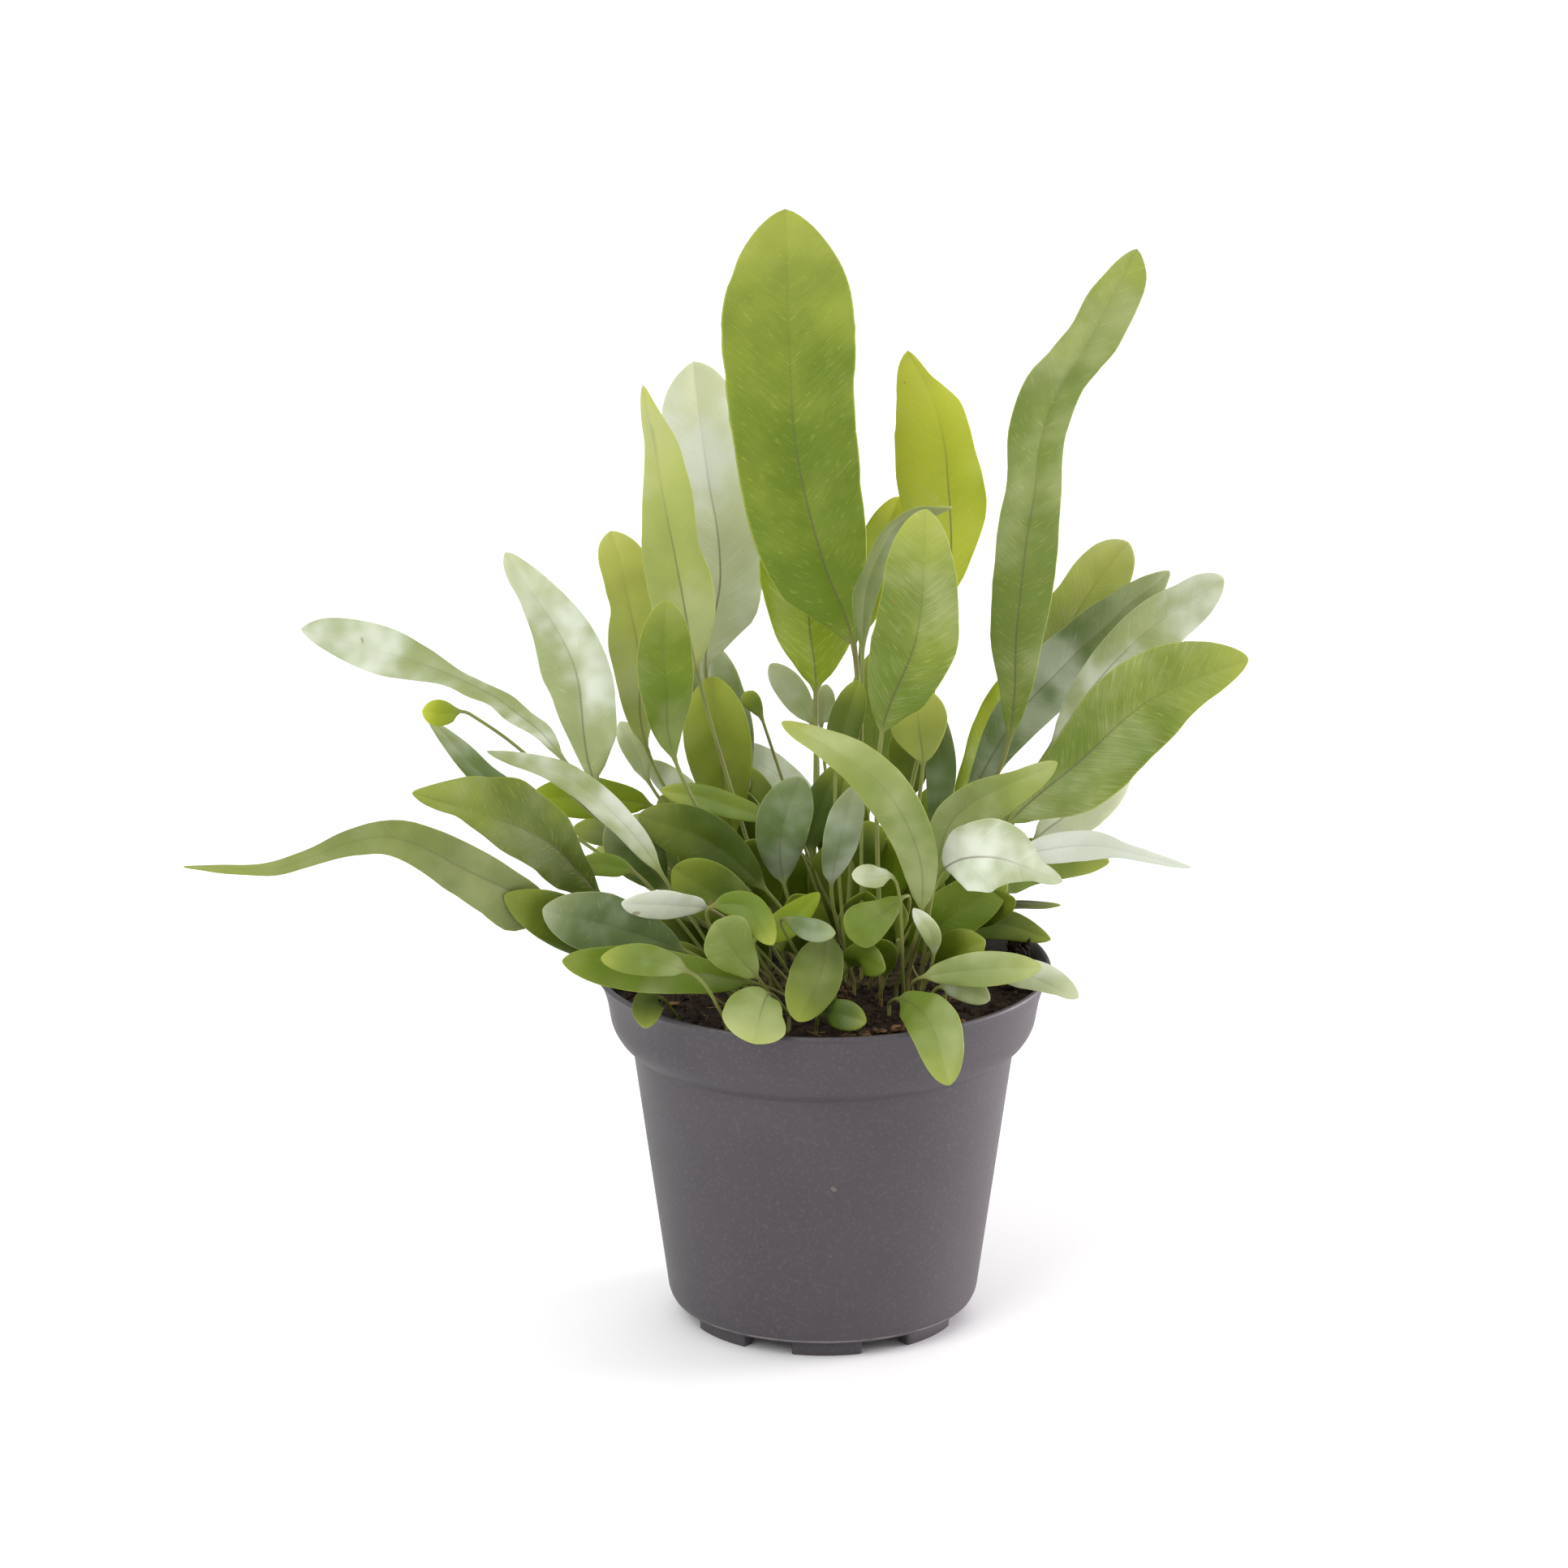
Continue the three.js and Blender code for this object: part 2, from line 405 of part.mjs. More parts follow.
/**
 * One frond, stalk and blade, as a closed loft. Each station is a ring of
 * four points: left edge, upper face, right edge, lower face.
 */
function frondGeometry({ root, blade, width, outline, turn = [0], left = [1], right = [1] }) {
  const points = [rootPoint(root), ...blade.map((point) => new THREE.Vector3(...point))];
  const midrib = new THREE.CatmullRomCurve3(points, false, 'centripetal');
  const neck = 1 / (points.length - 1);
  const inwards = new THREE.Vector3(0, 1, -0.3).normalize();
  const stations = [];
  for (let i = 0; i < FROND.stalkSteps; i += 1) {
    stations.push({ at: (neck * (i + 0.1)) / FROND.stalkSteps, t: 0 });
  }
  for (let i = 0; i < FROND.bladeSteps; i += 1) {
    const t = 1 - (1 - i / FROND.bladeSteps) ** 1.25;
    stations.push({ at: neck + (1 - neck) * t, t });
  }
  const vertices = [midrib.getPoint(0)];
  const previous = new THREE.Vector3();
  for (const { at, t } of stations) {
    const centre = midrib.getPoint(at);
    const tangent = midrib.getTangent(at);
    const side = new THREE.Vector3().crossVectors(tangent, inwards).normalize();
    if (side.dot(previous) < 0) {
      side.negate();
    }
    previous.copy(side);
    side.applyAxisAngle(tangent, THREE.MathUtils.degToRad(along(turn, t)));
    const up = new THREE.Vector3().crossVectors(tangent, side);
    const full = (width / 2) * outlineShare(outline, t);
    const thick = THREE.MathUtils.lerp(FROND.stalkRadius, FROND.thickness / 2, Math.min(1, t * 2));
    const margin = (way, bulges) => {
      const half = Math.max(FROND.stalkRadius, full * along(bulges, t));
      const sag = (half - FROND.stalkRadius) * FROND.fold;
      return centre.clone().addScaledVector(side, way * half).addScaledVector(up, sag);
    };
    const upper = centre.clone().addScaledVector(up, thick);
    const lower = centre.clone().addScaledVector(up, -thick);
    vertices.push(margin(1, left), upper, margin(-1, right), lower);
  }
  vertices.push(midrib.getPoint(1));
  const tip = vertices.length - 1;
  const faces = [];
  for (let corner = 0; corner < 4; corner += 1) {
    const next = (corner + 1) % 4;
    faces.push(0, 1 + next, 1 + corner);
    for (let ring = 0; ring < stations.length - 1; ring += 1) {
      const low = 1 + ring * 4;
      const high = low + 4;
      const lowPair = [low + corner, low + next];
      const highPair = [high + next, high + corner];
      // Both faces of the blade are split from edge to midrib alike, so a twist can't cross them.
      if (corner % 2 === 0) {
        faces.push(...lowPair, highPair[0], lowPair[0], ...highPair);
      } else {
        faces.push(...lowPair, highPair[1], lowPair[1], ...highPair);
      }
    }
    faces.push(tip - 4 + corner, tip - 4 + next, tip);
  }
  const geometry = new THREE.BufferGeometry().setFromPoints(vertices);
  geometry.setIndex(faces);
  geometry.computeVertexNormals();
  return geometry;
}

// ---- Assembly ------------------------------------------------------------

const group = new THREE.Group();

/** Adds one named piece to the plant. */
function addPiece(name, geometry, material) {
  const mesh = new THREE.Mesh(geometry, material);
  mesh.name = name;
  group.add(mesh);
}

addPiece('nursery_pot', potGeometry(), POT_GREY);
addPiece('potting_mix', mixGeometry(), MIX_BROWN);
addPiece('rhizome', toGeometry(rhizomeSolid(RHIZOME.radius)), RHIZOME_TAN);
for (const [name, frond] of Object.entries(FRONDS)) {
  addPiece(`frond_${name}`, frondGeometry(frond), frond.finish);
}

export default group;
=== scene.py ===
"""Potted blue star fern in a grey nursery pot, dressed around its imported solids.

Lengths are in metres unless a name says otherwise. The pot, the potting mix,
the rhizome and every frond get a fine surface in the place of their plain
solid, and the smallest fronds and the loose bits on the mix are added.
"""

import json
import logging
import math
import random
from collections.abc import Callable, Sequence
from dataclasses import dataclass, field
from enum import Enum

import bmesh
import bpy
from mathutils import Matrix, Vector, noise


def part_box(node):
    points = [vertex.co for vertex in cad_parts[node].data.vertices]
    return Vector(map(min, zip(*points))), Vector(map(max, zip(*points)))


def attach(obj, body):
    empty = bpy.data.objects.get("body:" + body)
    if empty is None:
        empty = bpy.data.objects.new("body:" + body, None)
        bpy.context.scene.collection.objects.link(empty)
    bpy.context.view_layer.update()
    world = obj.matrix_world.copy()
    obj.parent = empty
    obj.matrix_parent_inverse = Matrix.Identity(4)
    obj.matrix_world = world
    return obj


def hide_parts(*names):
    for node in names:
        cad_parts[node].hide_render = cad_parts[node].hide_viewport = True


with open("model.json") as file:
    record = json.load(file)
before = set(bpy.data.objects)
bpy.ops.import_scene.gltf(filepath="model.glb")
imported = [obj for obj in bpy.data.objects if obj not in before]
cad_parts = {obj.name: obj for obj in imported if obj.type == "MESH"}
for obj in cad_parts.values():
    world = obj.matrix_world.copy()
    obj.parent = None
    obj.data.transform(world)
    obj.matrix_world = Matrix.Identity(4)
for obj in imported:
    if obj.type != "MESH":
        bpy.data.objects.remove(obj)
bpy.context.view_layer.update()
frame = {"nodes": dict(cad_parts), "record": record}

LOG = logging.getLogger("potted_fern")
MM = 0.001
CM = 0.01
BODY = "root"
Colour = tuple[float, float, float]
Point = tuple[float, float, float]
Vert = bmesh.types.BMVert
Pair = tuple[Vert, Vert]
Socket = bpy.types.NodeSocket
# Power by which a blade's half width closes at its tip: the smaller, the blunter.
TIP_ROUNDNESS = 0.65


class Slot(Enum):
    """The record's material slots."""

    POT = "pot_plastic"
    MIX = "potting_mix"
    RHIZOME = "rhizome"
    PALE = "frond_pale"
    BRIGHT = "frond_bright"
    SAGE = "frond_sage"
    BLUE = "frond_blue_green"
    OLIVE = "frond_olive"


class Join(Enum):
    """How one solid is joined with another."""

    ADD = "UNION"
    CUT = "DIFFERENCE"


# ---- Small helpers ---------------------------------------------------------


def smooth_step(low: float, high: float, value: float) -> float:
    """Eases from 0 at low to 1 at high."""
    share = max(0.0, min(1.0, (value - low) / (high - low)))
    return share * share * (3.0 - 2.0 * share)


def ripple(place: Vector, scale: float, octaves: int = 3) -> float:
    """Layered noise of about -1 to 1 at a place.

    Args:
        place: where to read it, in metres.
        scale: features per metre.
        octaves: how many finer layers are added.

    Returns:
        The noise there.
    """
    total, share, at = 0.0, 1.0, place * scale
    for _ in range(octaves):
        total += share * noise.noise(at)
        share *= 0.5
        at = at * 2.03 + Vector((1.7, 9.2, 4.1))
    return total


@dataclass(frozen=True)
class Marks:
    """What a point of a blade tells its finish.

    All but the two lengths run from about 0 to 1: how near it is to the margin,
    how much it is stalk, whether it is on the underside, how far it is from the
    neck to the tip, how clearly the blade shows its veins, how much lighter it is
    than its finish (below 0 for darker) and how dusty (below 0 for fresher).
    """

    across_cm: float
    along_cm: float
    edge: float
    stalk: float
    underside: float
    reach: float
    ribbed: float
    tint: float
    age: float


MARK_LAYERS = ("edge", "stalk", "underside", "reach", "ribbed", "tint", "age")


def wrapped_skin(
    columns: int,
    rows: int,
    place: Callable[[int, int], Vector],
    marks: Callable[[int, int], Marks] | None = None,
) -> bmesh.types.BMesh:
    """Wraps a grid of faces round into one closed skin.

    Args:
        columns: faces round the skin; the first and last column meet.
        rows: faces along it; the first and last row each close in a point.
        place: where the point at a column and row goes.
        marks: what that point tells the finish, if the finish asks.

    Returns:
        A closed mesh with its faces pointing out.
    """
    skin = bmesh.new()
    drawn = skin.loops.layers.uv.new("blade")
    layers = [skin.verts.layers.float.new(name) for name in MARK_LAYERS]
    bmesh.ops.create_grid(skin, x_segments=columns, y_segments=rows, size=1.0)
    spots = {}
    for vert in skin.verts:
        column = round((vert.co.x + 1.0) * columns / 2.0)
        row = round((vert.co.y + 1.0) * rows / 2.0)
        spots[vert] = (column, row)
    if marks:
        told = {vert: marks(*spot) for vert, spot in spots.items()}
        for vert, mark in told.items():
            for layer, name in zip(layers, MARK_LAYERS):
                vert[layer] = getattr(mark, name)
        for face in skin.faces:
            for loop in face.loops:
                mark = told[loop.vert]
                loop[drawn].uv = (mark.across_cm, mark.along_cm)
    for vert, spot in spots.items():
        vert.co = place(*spot)
    bmesh.ops.remove_doubles(skin, verts=skin.verts, dist=1e-7)
    bmesh.ops.recalc_face_normals(skin, faces=skin.faces)
    return skin


def mesh_from(shape: bmesh.types.BMesh, name: str) -> bpy.types.Mesh:
    """Turns a bmesh into a smooth shaded mesh and frees it.

    Args:
        shape: the shape; it is used up.
        name: the mesh's name.

    Returns:
        The mesh.
    """
    mesh = bpy.data.meshes.new(name)
    shape.to_mesh(mesh)
    shape.free()
    mesh.shade_smooth()
    return mesh


def add_piece(
    mesh: bpy.types.Mesh, finish: bpy.types.Material, slot: Slot, *nodes: str
) -> bpy.types.Object:
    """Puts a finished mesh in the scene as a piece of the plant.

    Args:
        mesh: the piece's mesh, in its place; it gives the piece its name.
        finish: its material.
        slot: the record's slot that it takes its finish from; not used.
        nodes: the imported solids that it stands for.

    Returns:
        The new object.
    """
    mesh.materials.clear()
    mesh.materials.append(finish)
    piece = bpy.data.objects.new(mesh.name, mesh)
    bpy.context.scene.collection.objects.link(piece)
    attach(piece, BODY)
    if nodes:
        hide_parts(*nodes)
    LOG.info("%s: %d faces", mesh.name, len(mesh.polygons))
    return piece


def evaluated_mesh(
    mesh: bpy.types.Mesh, kind: str, settings: dict[str, object]
) -> bpy.types.Mesh:
    """Applies one modifier to a mesh and gives the result back.

    Args:
        mesh: the mesh to change; it is used up.
        kind: the modifier's type.
        settings: the modifier's settings.

    Returns:
        The changed mesh, with the same name.
    """
    name = mesh.name
    holder = bpy.data.objects.new("holder", mesh)
    bpy.context.scene.collection.objects.link(holder)
    modifier = holder.modifiers.new("change", kind)
    for setting, value in settings.items():
        setattr(modifier, setting, value)
    graph = bpy.context.evaluated_depsgraph_get()
    result = bpy.data.meshes.new_from_object(holder.evaluated_get(graph))
    bpy.data.objects.remove(holder)
    bpy.data.meshes.remove(mesh)
    result.name = name
    return result


def joined(base: bpy.types.Mesh, tool: bpy.types.Mesh, how: Join) -> bpy.types.Mesh:
    """Joins or cuts one solid with another.

    Args:
        base: the solid to change; it is used up.
        tool: the solid to add or to cut with; it is used up.
        how: whether the tool is added or cut away.

    Returns:
        The changed solid.
    """
    cutter = bpy.data.objects.new("cutter", tool)
    bpy.context.scene.collection.objects.link(cutter)
    settings = {"object": cutter, "operation": how.value, "solver": "EXACT"}
    result = evaluated_mesh(base, "BOOLEAN", settings)
    bpy.data.objects.remove(cutter)
    bpy.data.meshes.remove(tool)
    return result


# ---- Finishes --------------------------------------------------------------


class Shader:
    """One material's nodes, laid out by small methods."""

    def __init__(self, name: str) -> None:
        """Starts a material with a plain shader.

        Args:
            name: the material's name.
        """
        self.material = bpy.data.materials.new(name)
        self.material.use_nodes = True
        self.tree = self.material.node_tree
        self.surface = self.tree.nodes["Principled BSDF"]

    def node(self, kind: str, **settings: object) -> bpy.types.Node:
        """Adds a node and sets its options.

        Args:
            kind: the node's type.
            settings: its options.

        Returns:
            The node.
        """
        made = self.tree.nodes.new(kind)
        for setting, value in settings.items():
            setattr(made, setting, value)
        return made

    def feed(self, socket: Socket, value: object) -> None:
        """Links a socket to another socket, or sets it to a value.

        Args:
            socket: the socket to fill.
            value: a socket, a number or a colour.
        """
        if isinstance(value, Socket):
            self.tree.links.new(value, socket)
        elif isinstance(value, tuple):
            socket.default_value = (*value, 1.0) if len(socket.default_value) == 4 else value
        else:
            socket.default_value = value

    def calc(self, operation: str, *values: object) -> Socket:
        """Adds a Math node.

        Args:
            operation: what it works out.
            values: what goes into it, in order.

        Returns:
            The result.
        """
        made = self.node("ShaderNodeMath", operation=operation)
        for socket, value in zip(made.inputs, values):
            self.feed(socket, value)
        return made.outputs[0]

    def times(self, first: object, second: object) -> Socket:
        """Multiplies two values."""
        return self.calc("MULTIPLY", first, second)

    def times_plus(self, first: object, second: object, more: object) -> Socket:
        """Multiplies two values and adds a third."""
        return self.calc("MULTIPLY_ADD", first, second, more)

    def blend(self, share: object, first: object, second: object) -> Socket:
        """Mixes two colours.

        Args:
            share: share of the second colour.
            first: the colour at 0.
            second: the colour at 1.

        Returns:
            The mixed colour.
        """
        made = self.node("ShaderNodeMix", data_type="RGBA")
        self.feed(made.inputs[0], share)
        self.feed(made.inputs[6], first)
        self.feed(made.inputs[7], second)
        return made.outputs[2]

    def spread(
        self, value: object, low: float, high: float, start: float = 0.0, end: float = 1.0
    ) -> Socket:
        """Maps low..high to start..end, eased and clamped.

        Args:
            value: what is mapped.
            low: the value that gives start.
            high: the value that gives end.
            start: the result at low and below.
            end: the result at high and above.

        Returns:
            The mapped value.
        """
        made = self.node("ShaderNodeMapRange", interpolation_type="SMOOTHSTEP")
        for socket, part in zip(made.inputs, (value, low, high, start, end)):
            self.feed(socket, part)
        return made.outputs[0]

    def told(self, name: str) -> Socket:
        """Reads one of the piece's own marks."""
        return self.node("ShaderNodeAttribute", attribute_name=name).outputs["Fac"]

    def place(self) -> Socket:
        """The piece's own coordinates."""
        return self.node("ShaderNodeTexCoord").outputs["Object"]

    def grain(
        self, source: Socket, scale: float, detail: float = 3.0, rough: float = 0.5
    ) -> Socket:
        """Soft noise of about 0 to 1 over a coordinate.

        Args:
            source: the coordinate.
            scale: features per unit of it.
            detail: how many finer layers are added.
            rough: how strong the finer layers are.

        Returns:
            The noise.
        """
        made = self.node("ShaderNodeTexNoise")
        self.feed(made.inputs["Vector"], source)
        for name, value in (("Scale", scale), ("Detail", detail), ("Roughness", rough)):
            self.feed(made.inputs[name], value)
        return made.outputs["Fac"]

    def raise_skin(self, height: Socket, depth: float, strength: float) -> None:
        """Shades the surface as if it rose by height times depth.

        Args:
            height: the height, of about 0 to 1.
            depth: how far 1 rises, in metres.
            strength: how much of it is shown.
        """
        made = self.node("ShaderNodeBump")
        made.inputs["Strength"].default_value = strength
        made.inputs["Distance"].default_value = depth
        self.feed(made.inputs["Height"], height)
        self.feed(self.surface.inputs["Normal"], made.outputs["Normal"])

    def set(self, **values: object) -> None:
        """Sets or links the shader's own sockets, named with underscores.

        Args:
            values: what each socket gets.
        """
        for name, value in values.items():
            self.feed(self.surface.inputs[name.replace("_", " ")], value)


@dataclass(frozen=True)
class FrondFinish:
    """Leaf skin: faint slanting veins, broad light patches, a bloom and a thin midrib.

    Scales are features per metre, and the fineness of streaks is per centimetre.
    """

    slot: Slot
    deep: Colour
    light: Colour
    tip: Colour
    bloom: Colour
    bloom_share: float
    roughness: float = 0.46
    rib: Colour = (0.11, 0.085, 0.045)
    stalk: Colour = (0.22, 0.26, 0.06)
    bark: Colour = (0.15, 0.105, 0.045)
    dry: Colour = (0.27, 0.17, 0.06)
    vein_slant: float = 0.9
    cloud_scale: float = 52.0
    bloom_scale: float = 38.0
    spot_scale: float = 210.0
    bark_scale: float = 60.0
    pore_scale: float = 1100.0
    streak_fineness: float = 7.0
    dash_fineness: float = 18.0
    vein_fineness: float = 30.0
    vein_breaks: float = 1.4
    dash_breaks: float = 3.4
    dash_share: float = 0.3
    relief: float = 0.14 * MM
    see_through: float = 0.18

    def material(self) -> bpy.types.Material:
        """Builds the leaf material.

        Returns:
            The material, which reads the blade's own marks.
        """
        shader = Shader(self.slot.value)
        place = shader.place()
        ribbed = shader.told("ribbed")
        clouds = shader.grain(place, self.cloud_scale, 2.5, 0.55)
        across, slanted = self.vein_lines(shader)
        streak = self.drawn_out(shader, slanted, across, self.streak_fineness, self.vein_breaks)
        streak = shader.times(streak, ribbed)
        fine = self.drawn_out(shader, slanted, across, self.vein_fineness, self.vein_breaks)
        fine = shader.times(fine, ribbed)
        dashes = self.drawn_out(shader, slanted, across, self.dash_fineness, self.dash_breaks)
        dashes = shader.times(shader.spread(dashes, 0.58, 0.68), ribbed)
        colour = self.body(shader, clouds, streak)
        colour = shader.blend(shader.times(dashes, self.dash_share), colour, self.tip)
        colour = self.dusted(shader, colour, place, fine)
        colour = self.aged(shader, colour, place)
        colour = self.lined(shader, colour, across)
        colour = self.stemmed(shader, colour, place)
        rough = shader.spread(clouds, 0.3, 0.7, self.roughness - 0.05, self.roughness + 0.09)
        height = shader.times_plus(fine, 0.9, shader.grain(place, self.pore_scale, 2.0))
        height = shader.times_plus(streak, 0.4, height)
        height = shader.times_plus(dashes, 0.35, height)
        shader.raise_skin(height, self.relief, 0.55)
        shader.set(Base_Color=colour, Roughness=rough, Specular_IOR_Level=0.36)
        shader.set(Subsurface_Weight=0.1, Subsurface_Scale=0.4 * MM)
        shader.set(Subsurface_Radius=(0.6, 1.0, 0.2))
        return self.lit_through(shader, colour)

    def vein_lines(self, shader: Shader) -> tuple[Socket, Socket]:
        """Measures the blade across its midrib and along its slanting veins.

        Args:
            shader: the material's nodes.

        Returns:
            The distance from the midrib and the distance along, in centimetres.
        """
        drawn = shader.node("ShaderNodeUVMap", uv_map="blade").outputs[0]
        split = shader.node("ShaderNodeSeparateXYZ")
        shader.feed(split.inputs[0], drawn)
        across = shader.calc("ABSOLUTE", split.outputs[0])
        slant = shader.times(across, self.vein_slant)
        return across, shader.calc("SUBTRACT", split.outputs[1], slant)

    def drawn_out(
        self, shader: Shader, slanted: Socket, across: Socket, fineness: float, breaks: float
    ) -> Socket:
        """Noise drawn out along the slanting veins.

        Args:
            shader: the material's nodes.
            slanted: distance along the blade, measured along its veins, in centimetres.
            across: distance from the midrib, in centimetres.
            fineness: streaks per centimetre, about.
            breaks: how often a streak starts anew per centimetre, about.

        Returns:
            The streaks, of about 0 to 1.
        """
        made = shader.node("ShaderNodeCombineXYZ")
        shader.feed(made.inputs[0], shader.times(slanted, fineness))
        shader.feed(made.inputs[1], shader.times(across, breaks))
        shader.feed(made.inputs[2], shader.times(shader.told("tint"), 9.0))
        return shader.grain(made.outputs[0], 1.0, 3.0, 0.6)

    def body(self, shader: Shader, clouds: Socket, streak: Socket) -> Socket:
        """The blade's own green, deeper at the neck and lighter at the tip.

        Args:
            shader: the material's nodes.
            clouds: broad soft patches.
            streak: streaks along the veins.

        Returns:
            The colour.
        """
        reach, tint = shader.told("reach"), shader.told("tint")
        share = shader.times_plus(clouds, 1.0, -0.56)
        share = shader.times_plus(streak, 0.22, share)
        share = shader.times_plus(reach, 0.5, share)
        share = shader.times_plus(tint, 0.4, share)
        colour = shader.blend(shader.spread(share, 0.0, 0.8), self.deep, self.light)
        towards_tip = shader.times(shader.spread(reach, 0.35, 1.0), 0.46)
        bright = shader.calc("ADD", towards_tip, shader.times(tint, 0.35))
        return shader.blend(shader.spread(bright, 0.0, 0.9, 0.0, 0.85), colour, self.tip)

    def dusted(self, shader: Shader, colour: Socket, place: Socket, fine: Socket) -> Socket:
        """Lays the pale bloom over a colour, in patches and along fine veins.

        Args:
            shader: the material's nodes.
            colour: the blade's own colour.
            place: the piece's own coordinates.
            fine: fine streaks along the veins.

        Returns:
            The dusted colour.
        """
        patch = shader.spread(shader.grain(place, self.bloom_scale, 3.0, 0.6), 0.4, 0.7)
        share = shader.times(patch, self.bloom_share)
        share = shader.times_plus(shader.told("age"), 0.6, share)
        share = shader.times_plus(shader.spread(fine, 0.5, 0.7), 0.24, share)
        share = shader.times_plus(shader.told("underside"), 0.14, share)
        return shader.blend(shader.spread(share, 0.0, 1.0), colour, self.bloom)

    def aged(self, shader: Shader, colour: Socket, place: Socket) -> Socket:
        """Lightens the margin and adds a few small dry spots.

        Args:
            shader: the material's nodes.
            colour: the blade's colour.
            place: the piece's own coordinates.

        Returns:
            The changed colour.
        """
        margin = shader.spread(shader.told("edge"), 0.965, 0.995, 0.0, 0.45)
        colour = shader.blend(margin, colour, self.tip)
        grain = shader.grain(place, self.spot_scale, 1.0)
        return shader.blend(shader.spread(grain, 0.79, 0.81, 0.0, 0.6), colour, self.dry)

    def lined(self, shader: Shader, colour: Socket, across: Socket) -> Socket:
        """Draws the midrib, fainter towards the tip and on small blades.

        Args:
            shader: the material's nodes.
            colour: the blade's colour.
            across: distance from the midrib, in centimetres.

        Returns:
            The changed colour.
        """
        near_rib = shader.spread(across, 0.008, 0.042, 1.0, 0.0)
        fading = shader.spread(shader.told("reach"), 0.1, 0.7, 0.75, 0.08)
        strength = shader.times_plus(shader.told("ribbed"), 0.75, 0.2)
        drawn_rib = shader.times(shader.times(near_rib, fading), strength)
        return shader.blend(drawn_rib, colour, self.rib)

    def stemmed(self, shader: Shader, colour: Socket, place: Socket) -> Socket:
        """Gives the stalk its own green, with brown patches.

        Args:
            shader: the material's nodes.
            colour: the blade's colour.
            place: the piece's own coordinates.

        Returns:
            The changed colour.
        """
        brown = shader.spread(shader.grain(place, self.bark_scale), 0.42, 0.7, 0.0, 0.6)
        stem = shader.blend(brown, self.stalk, self.bark)
        return shader.blend(shader.told("stalk"), colour, stem)

    def lit_through(self, shader: Shader, colour: Socket) -> bpy.types.Material:
        """Lets some light through the leaf.

        Args:
            shader: the material's nodes.
            colour: the leaf's colour.

        Returns:
            The finished material.
        """
        through = shader.node("ShaderNodeBsdfTranslucent")
        shader.feed(through.inputs["Color"], shader.blend(0.35, colour, self.tip))
        both = shader.node("ShaderNodeMixShader")
        both.inputs[0].default_value = self.see_through
        shader.feed(both.inputs[1], shader.surface.outputs[0])
        shader.feed(both.inputs[2], through.outputs[0])
        shader.feed(shader.tree.nodes["Material Output"].inputs["Surface"], both.outputs[0])
        return shader.material


FROND_FINISHES = (
    FrondFinish(
        Slot.PALE,
        deep=(0.29, 0.345, 0.13),
        light=(0.50, 0.545, 0.29),
        tip=(0.66, 0.69, 0.44),
        bloom=(0.72, 0.76, 0.66),
        bloom_share=0.7,
        roughness=0.5,
    ),
    FrondFinish(
        Slot.BRIGHT,
        deep=(0.20, 0.28, 0.004),
        light=(0.41, 0.47, 0.015),
        tip=(0.60, 0.62, 0.07),
        bloom=(0.52, 0.56, 0.22),
        bloom_share=0.15,
    ),
    FrondFinish(
        Slot.SAGE,
        deep=(0.12, 0.19, 0.004),
        light=(0.31, 0.375, 0.04),
        tip=(0.53, 0.55, 0.10),
        bloom=(0.50, 0.54, 0.28),
        bloom_share=0.3,
    ),
    FrondFinish(
        Slot.BLUE,
        deep=(0.085, 0.14, 0.018),
        light=(0.23, 0.29, 0.09),
        tip=(0.44, 0.48, 0.19),
        bloom=(0.46, 0.52, 0.39),
        bloom_share=0.5,
        roughness=0.48,
    ),
    FrondFinish(
        Slot.OLIVE,
        deep=(0.055, 0.095, 0.001),
        light=(0.19, 0.25, 0.012),
        tip=(0.36, 0.41, 0.05),
        bloom=(0.33, 0.37, 0.16),
        bloom_share=0.25,
    ),
)


@dataclass(frozen=True)
class PotFinish:
    """Satin grey moulded plastic with a fine grain, a light moulding line and a few flecks."""

    grey: Colour = (0.044, 0.037, 0.043)
    worn: Colour = (0.078, 0.067, 0.076)
    dust: Colour = (0.17, 0.14, 0.11)
    seam: Colour = (0.3, 0.26, 0.27)
    seam_height: float = 5.3 * MM

    def material(self) -> bpy.types.Material:
        """Builds the pot's material.

        Returns:
            The material.
        """
        shader = Shader(Slot.POT.value)
        place = shader.place()
        clouds = shader.grain(place, 26.0, 4.0, 0.6)
        colour = shader.blend(shader.spread(clouds, 0.35, 0.75, 0.0, 0.35), self.grey, self.worn)
        specks = shader.spread(shader.grain(place, 1000.0, 2.0), 0.5, 0.72, 0.0, 0.55)
        colour = shader.blend(specks, colour, self.worn)
        split = shader.node("ShaderNodeSeparateXYZ")
        shader.feed(split.inputs[0], place)
        above_seam = shader.calc("SUBTRACT", split.outputs[2], self.seam_height)
        off_seam = shader.calc("ABSOLUTE", above_seam)
        broken = shader.spread(shader.grain(place, 170.0, 1.0), 0.35, 0.6, 0.2, 0.75)
        line = shader.spread(off_seam, 0.08 * MM, 0.3 * MM, 1.0, 0.0)
        colour = shader.blend(shader.times(line, broken), colour, self.seam)
        flecks = shader.spread(shader.grain(place, 330.0, 1.0), 0.8, 0.82, 0.0, 0.6)
        colour = shader.blend(flecks, colour, self.dust)
        height = shader.times_plus(clouds, 0.4, shader.grain(place, 2600.0, 2.0))
        shader.raise_skin(height, 0.05 * MM, 0.5)
        shader.set(Base_Color=colour, Roughness=shader.spread(clouds, 0.3, 0.7, 0.47, 0.58))
        return shader.material


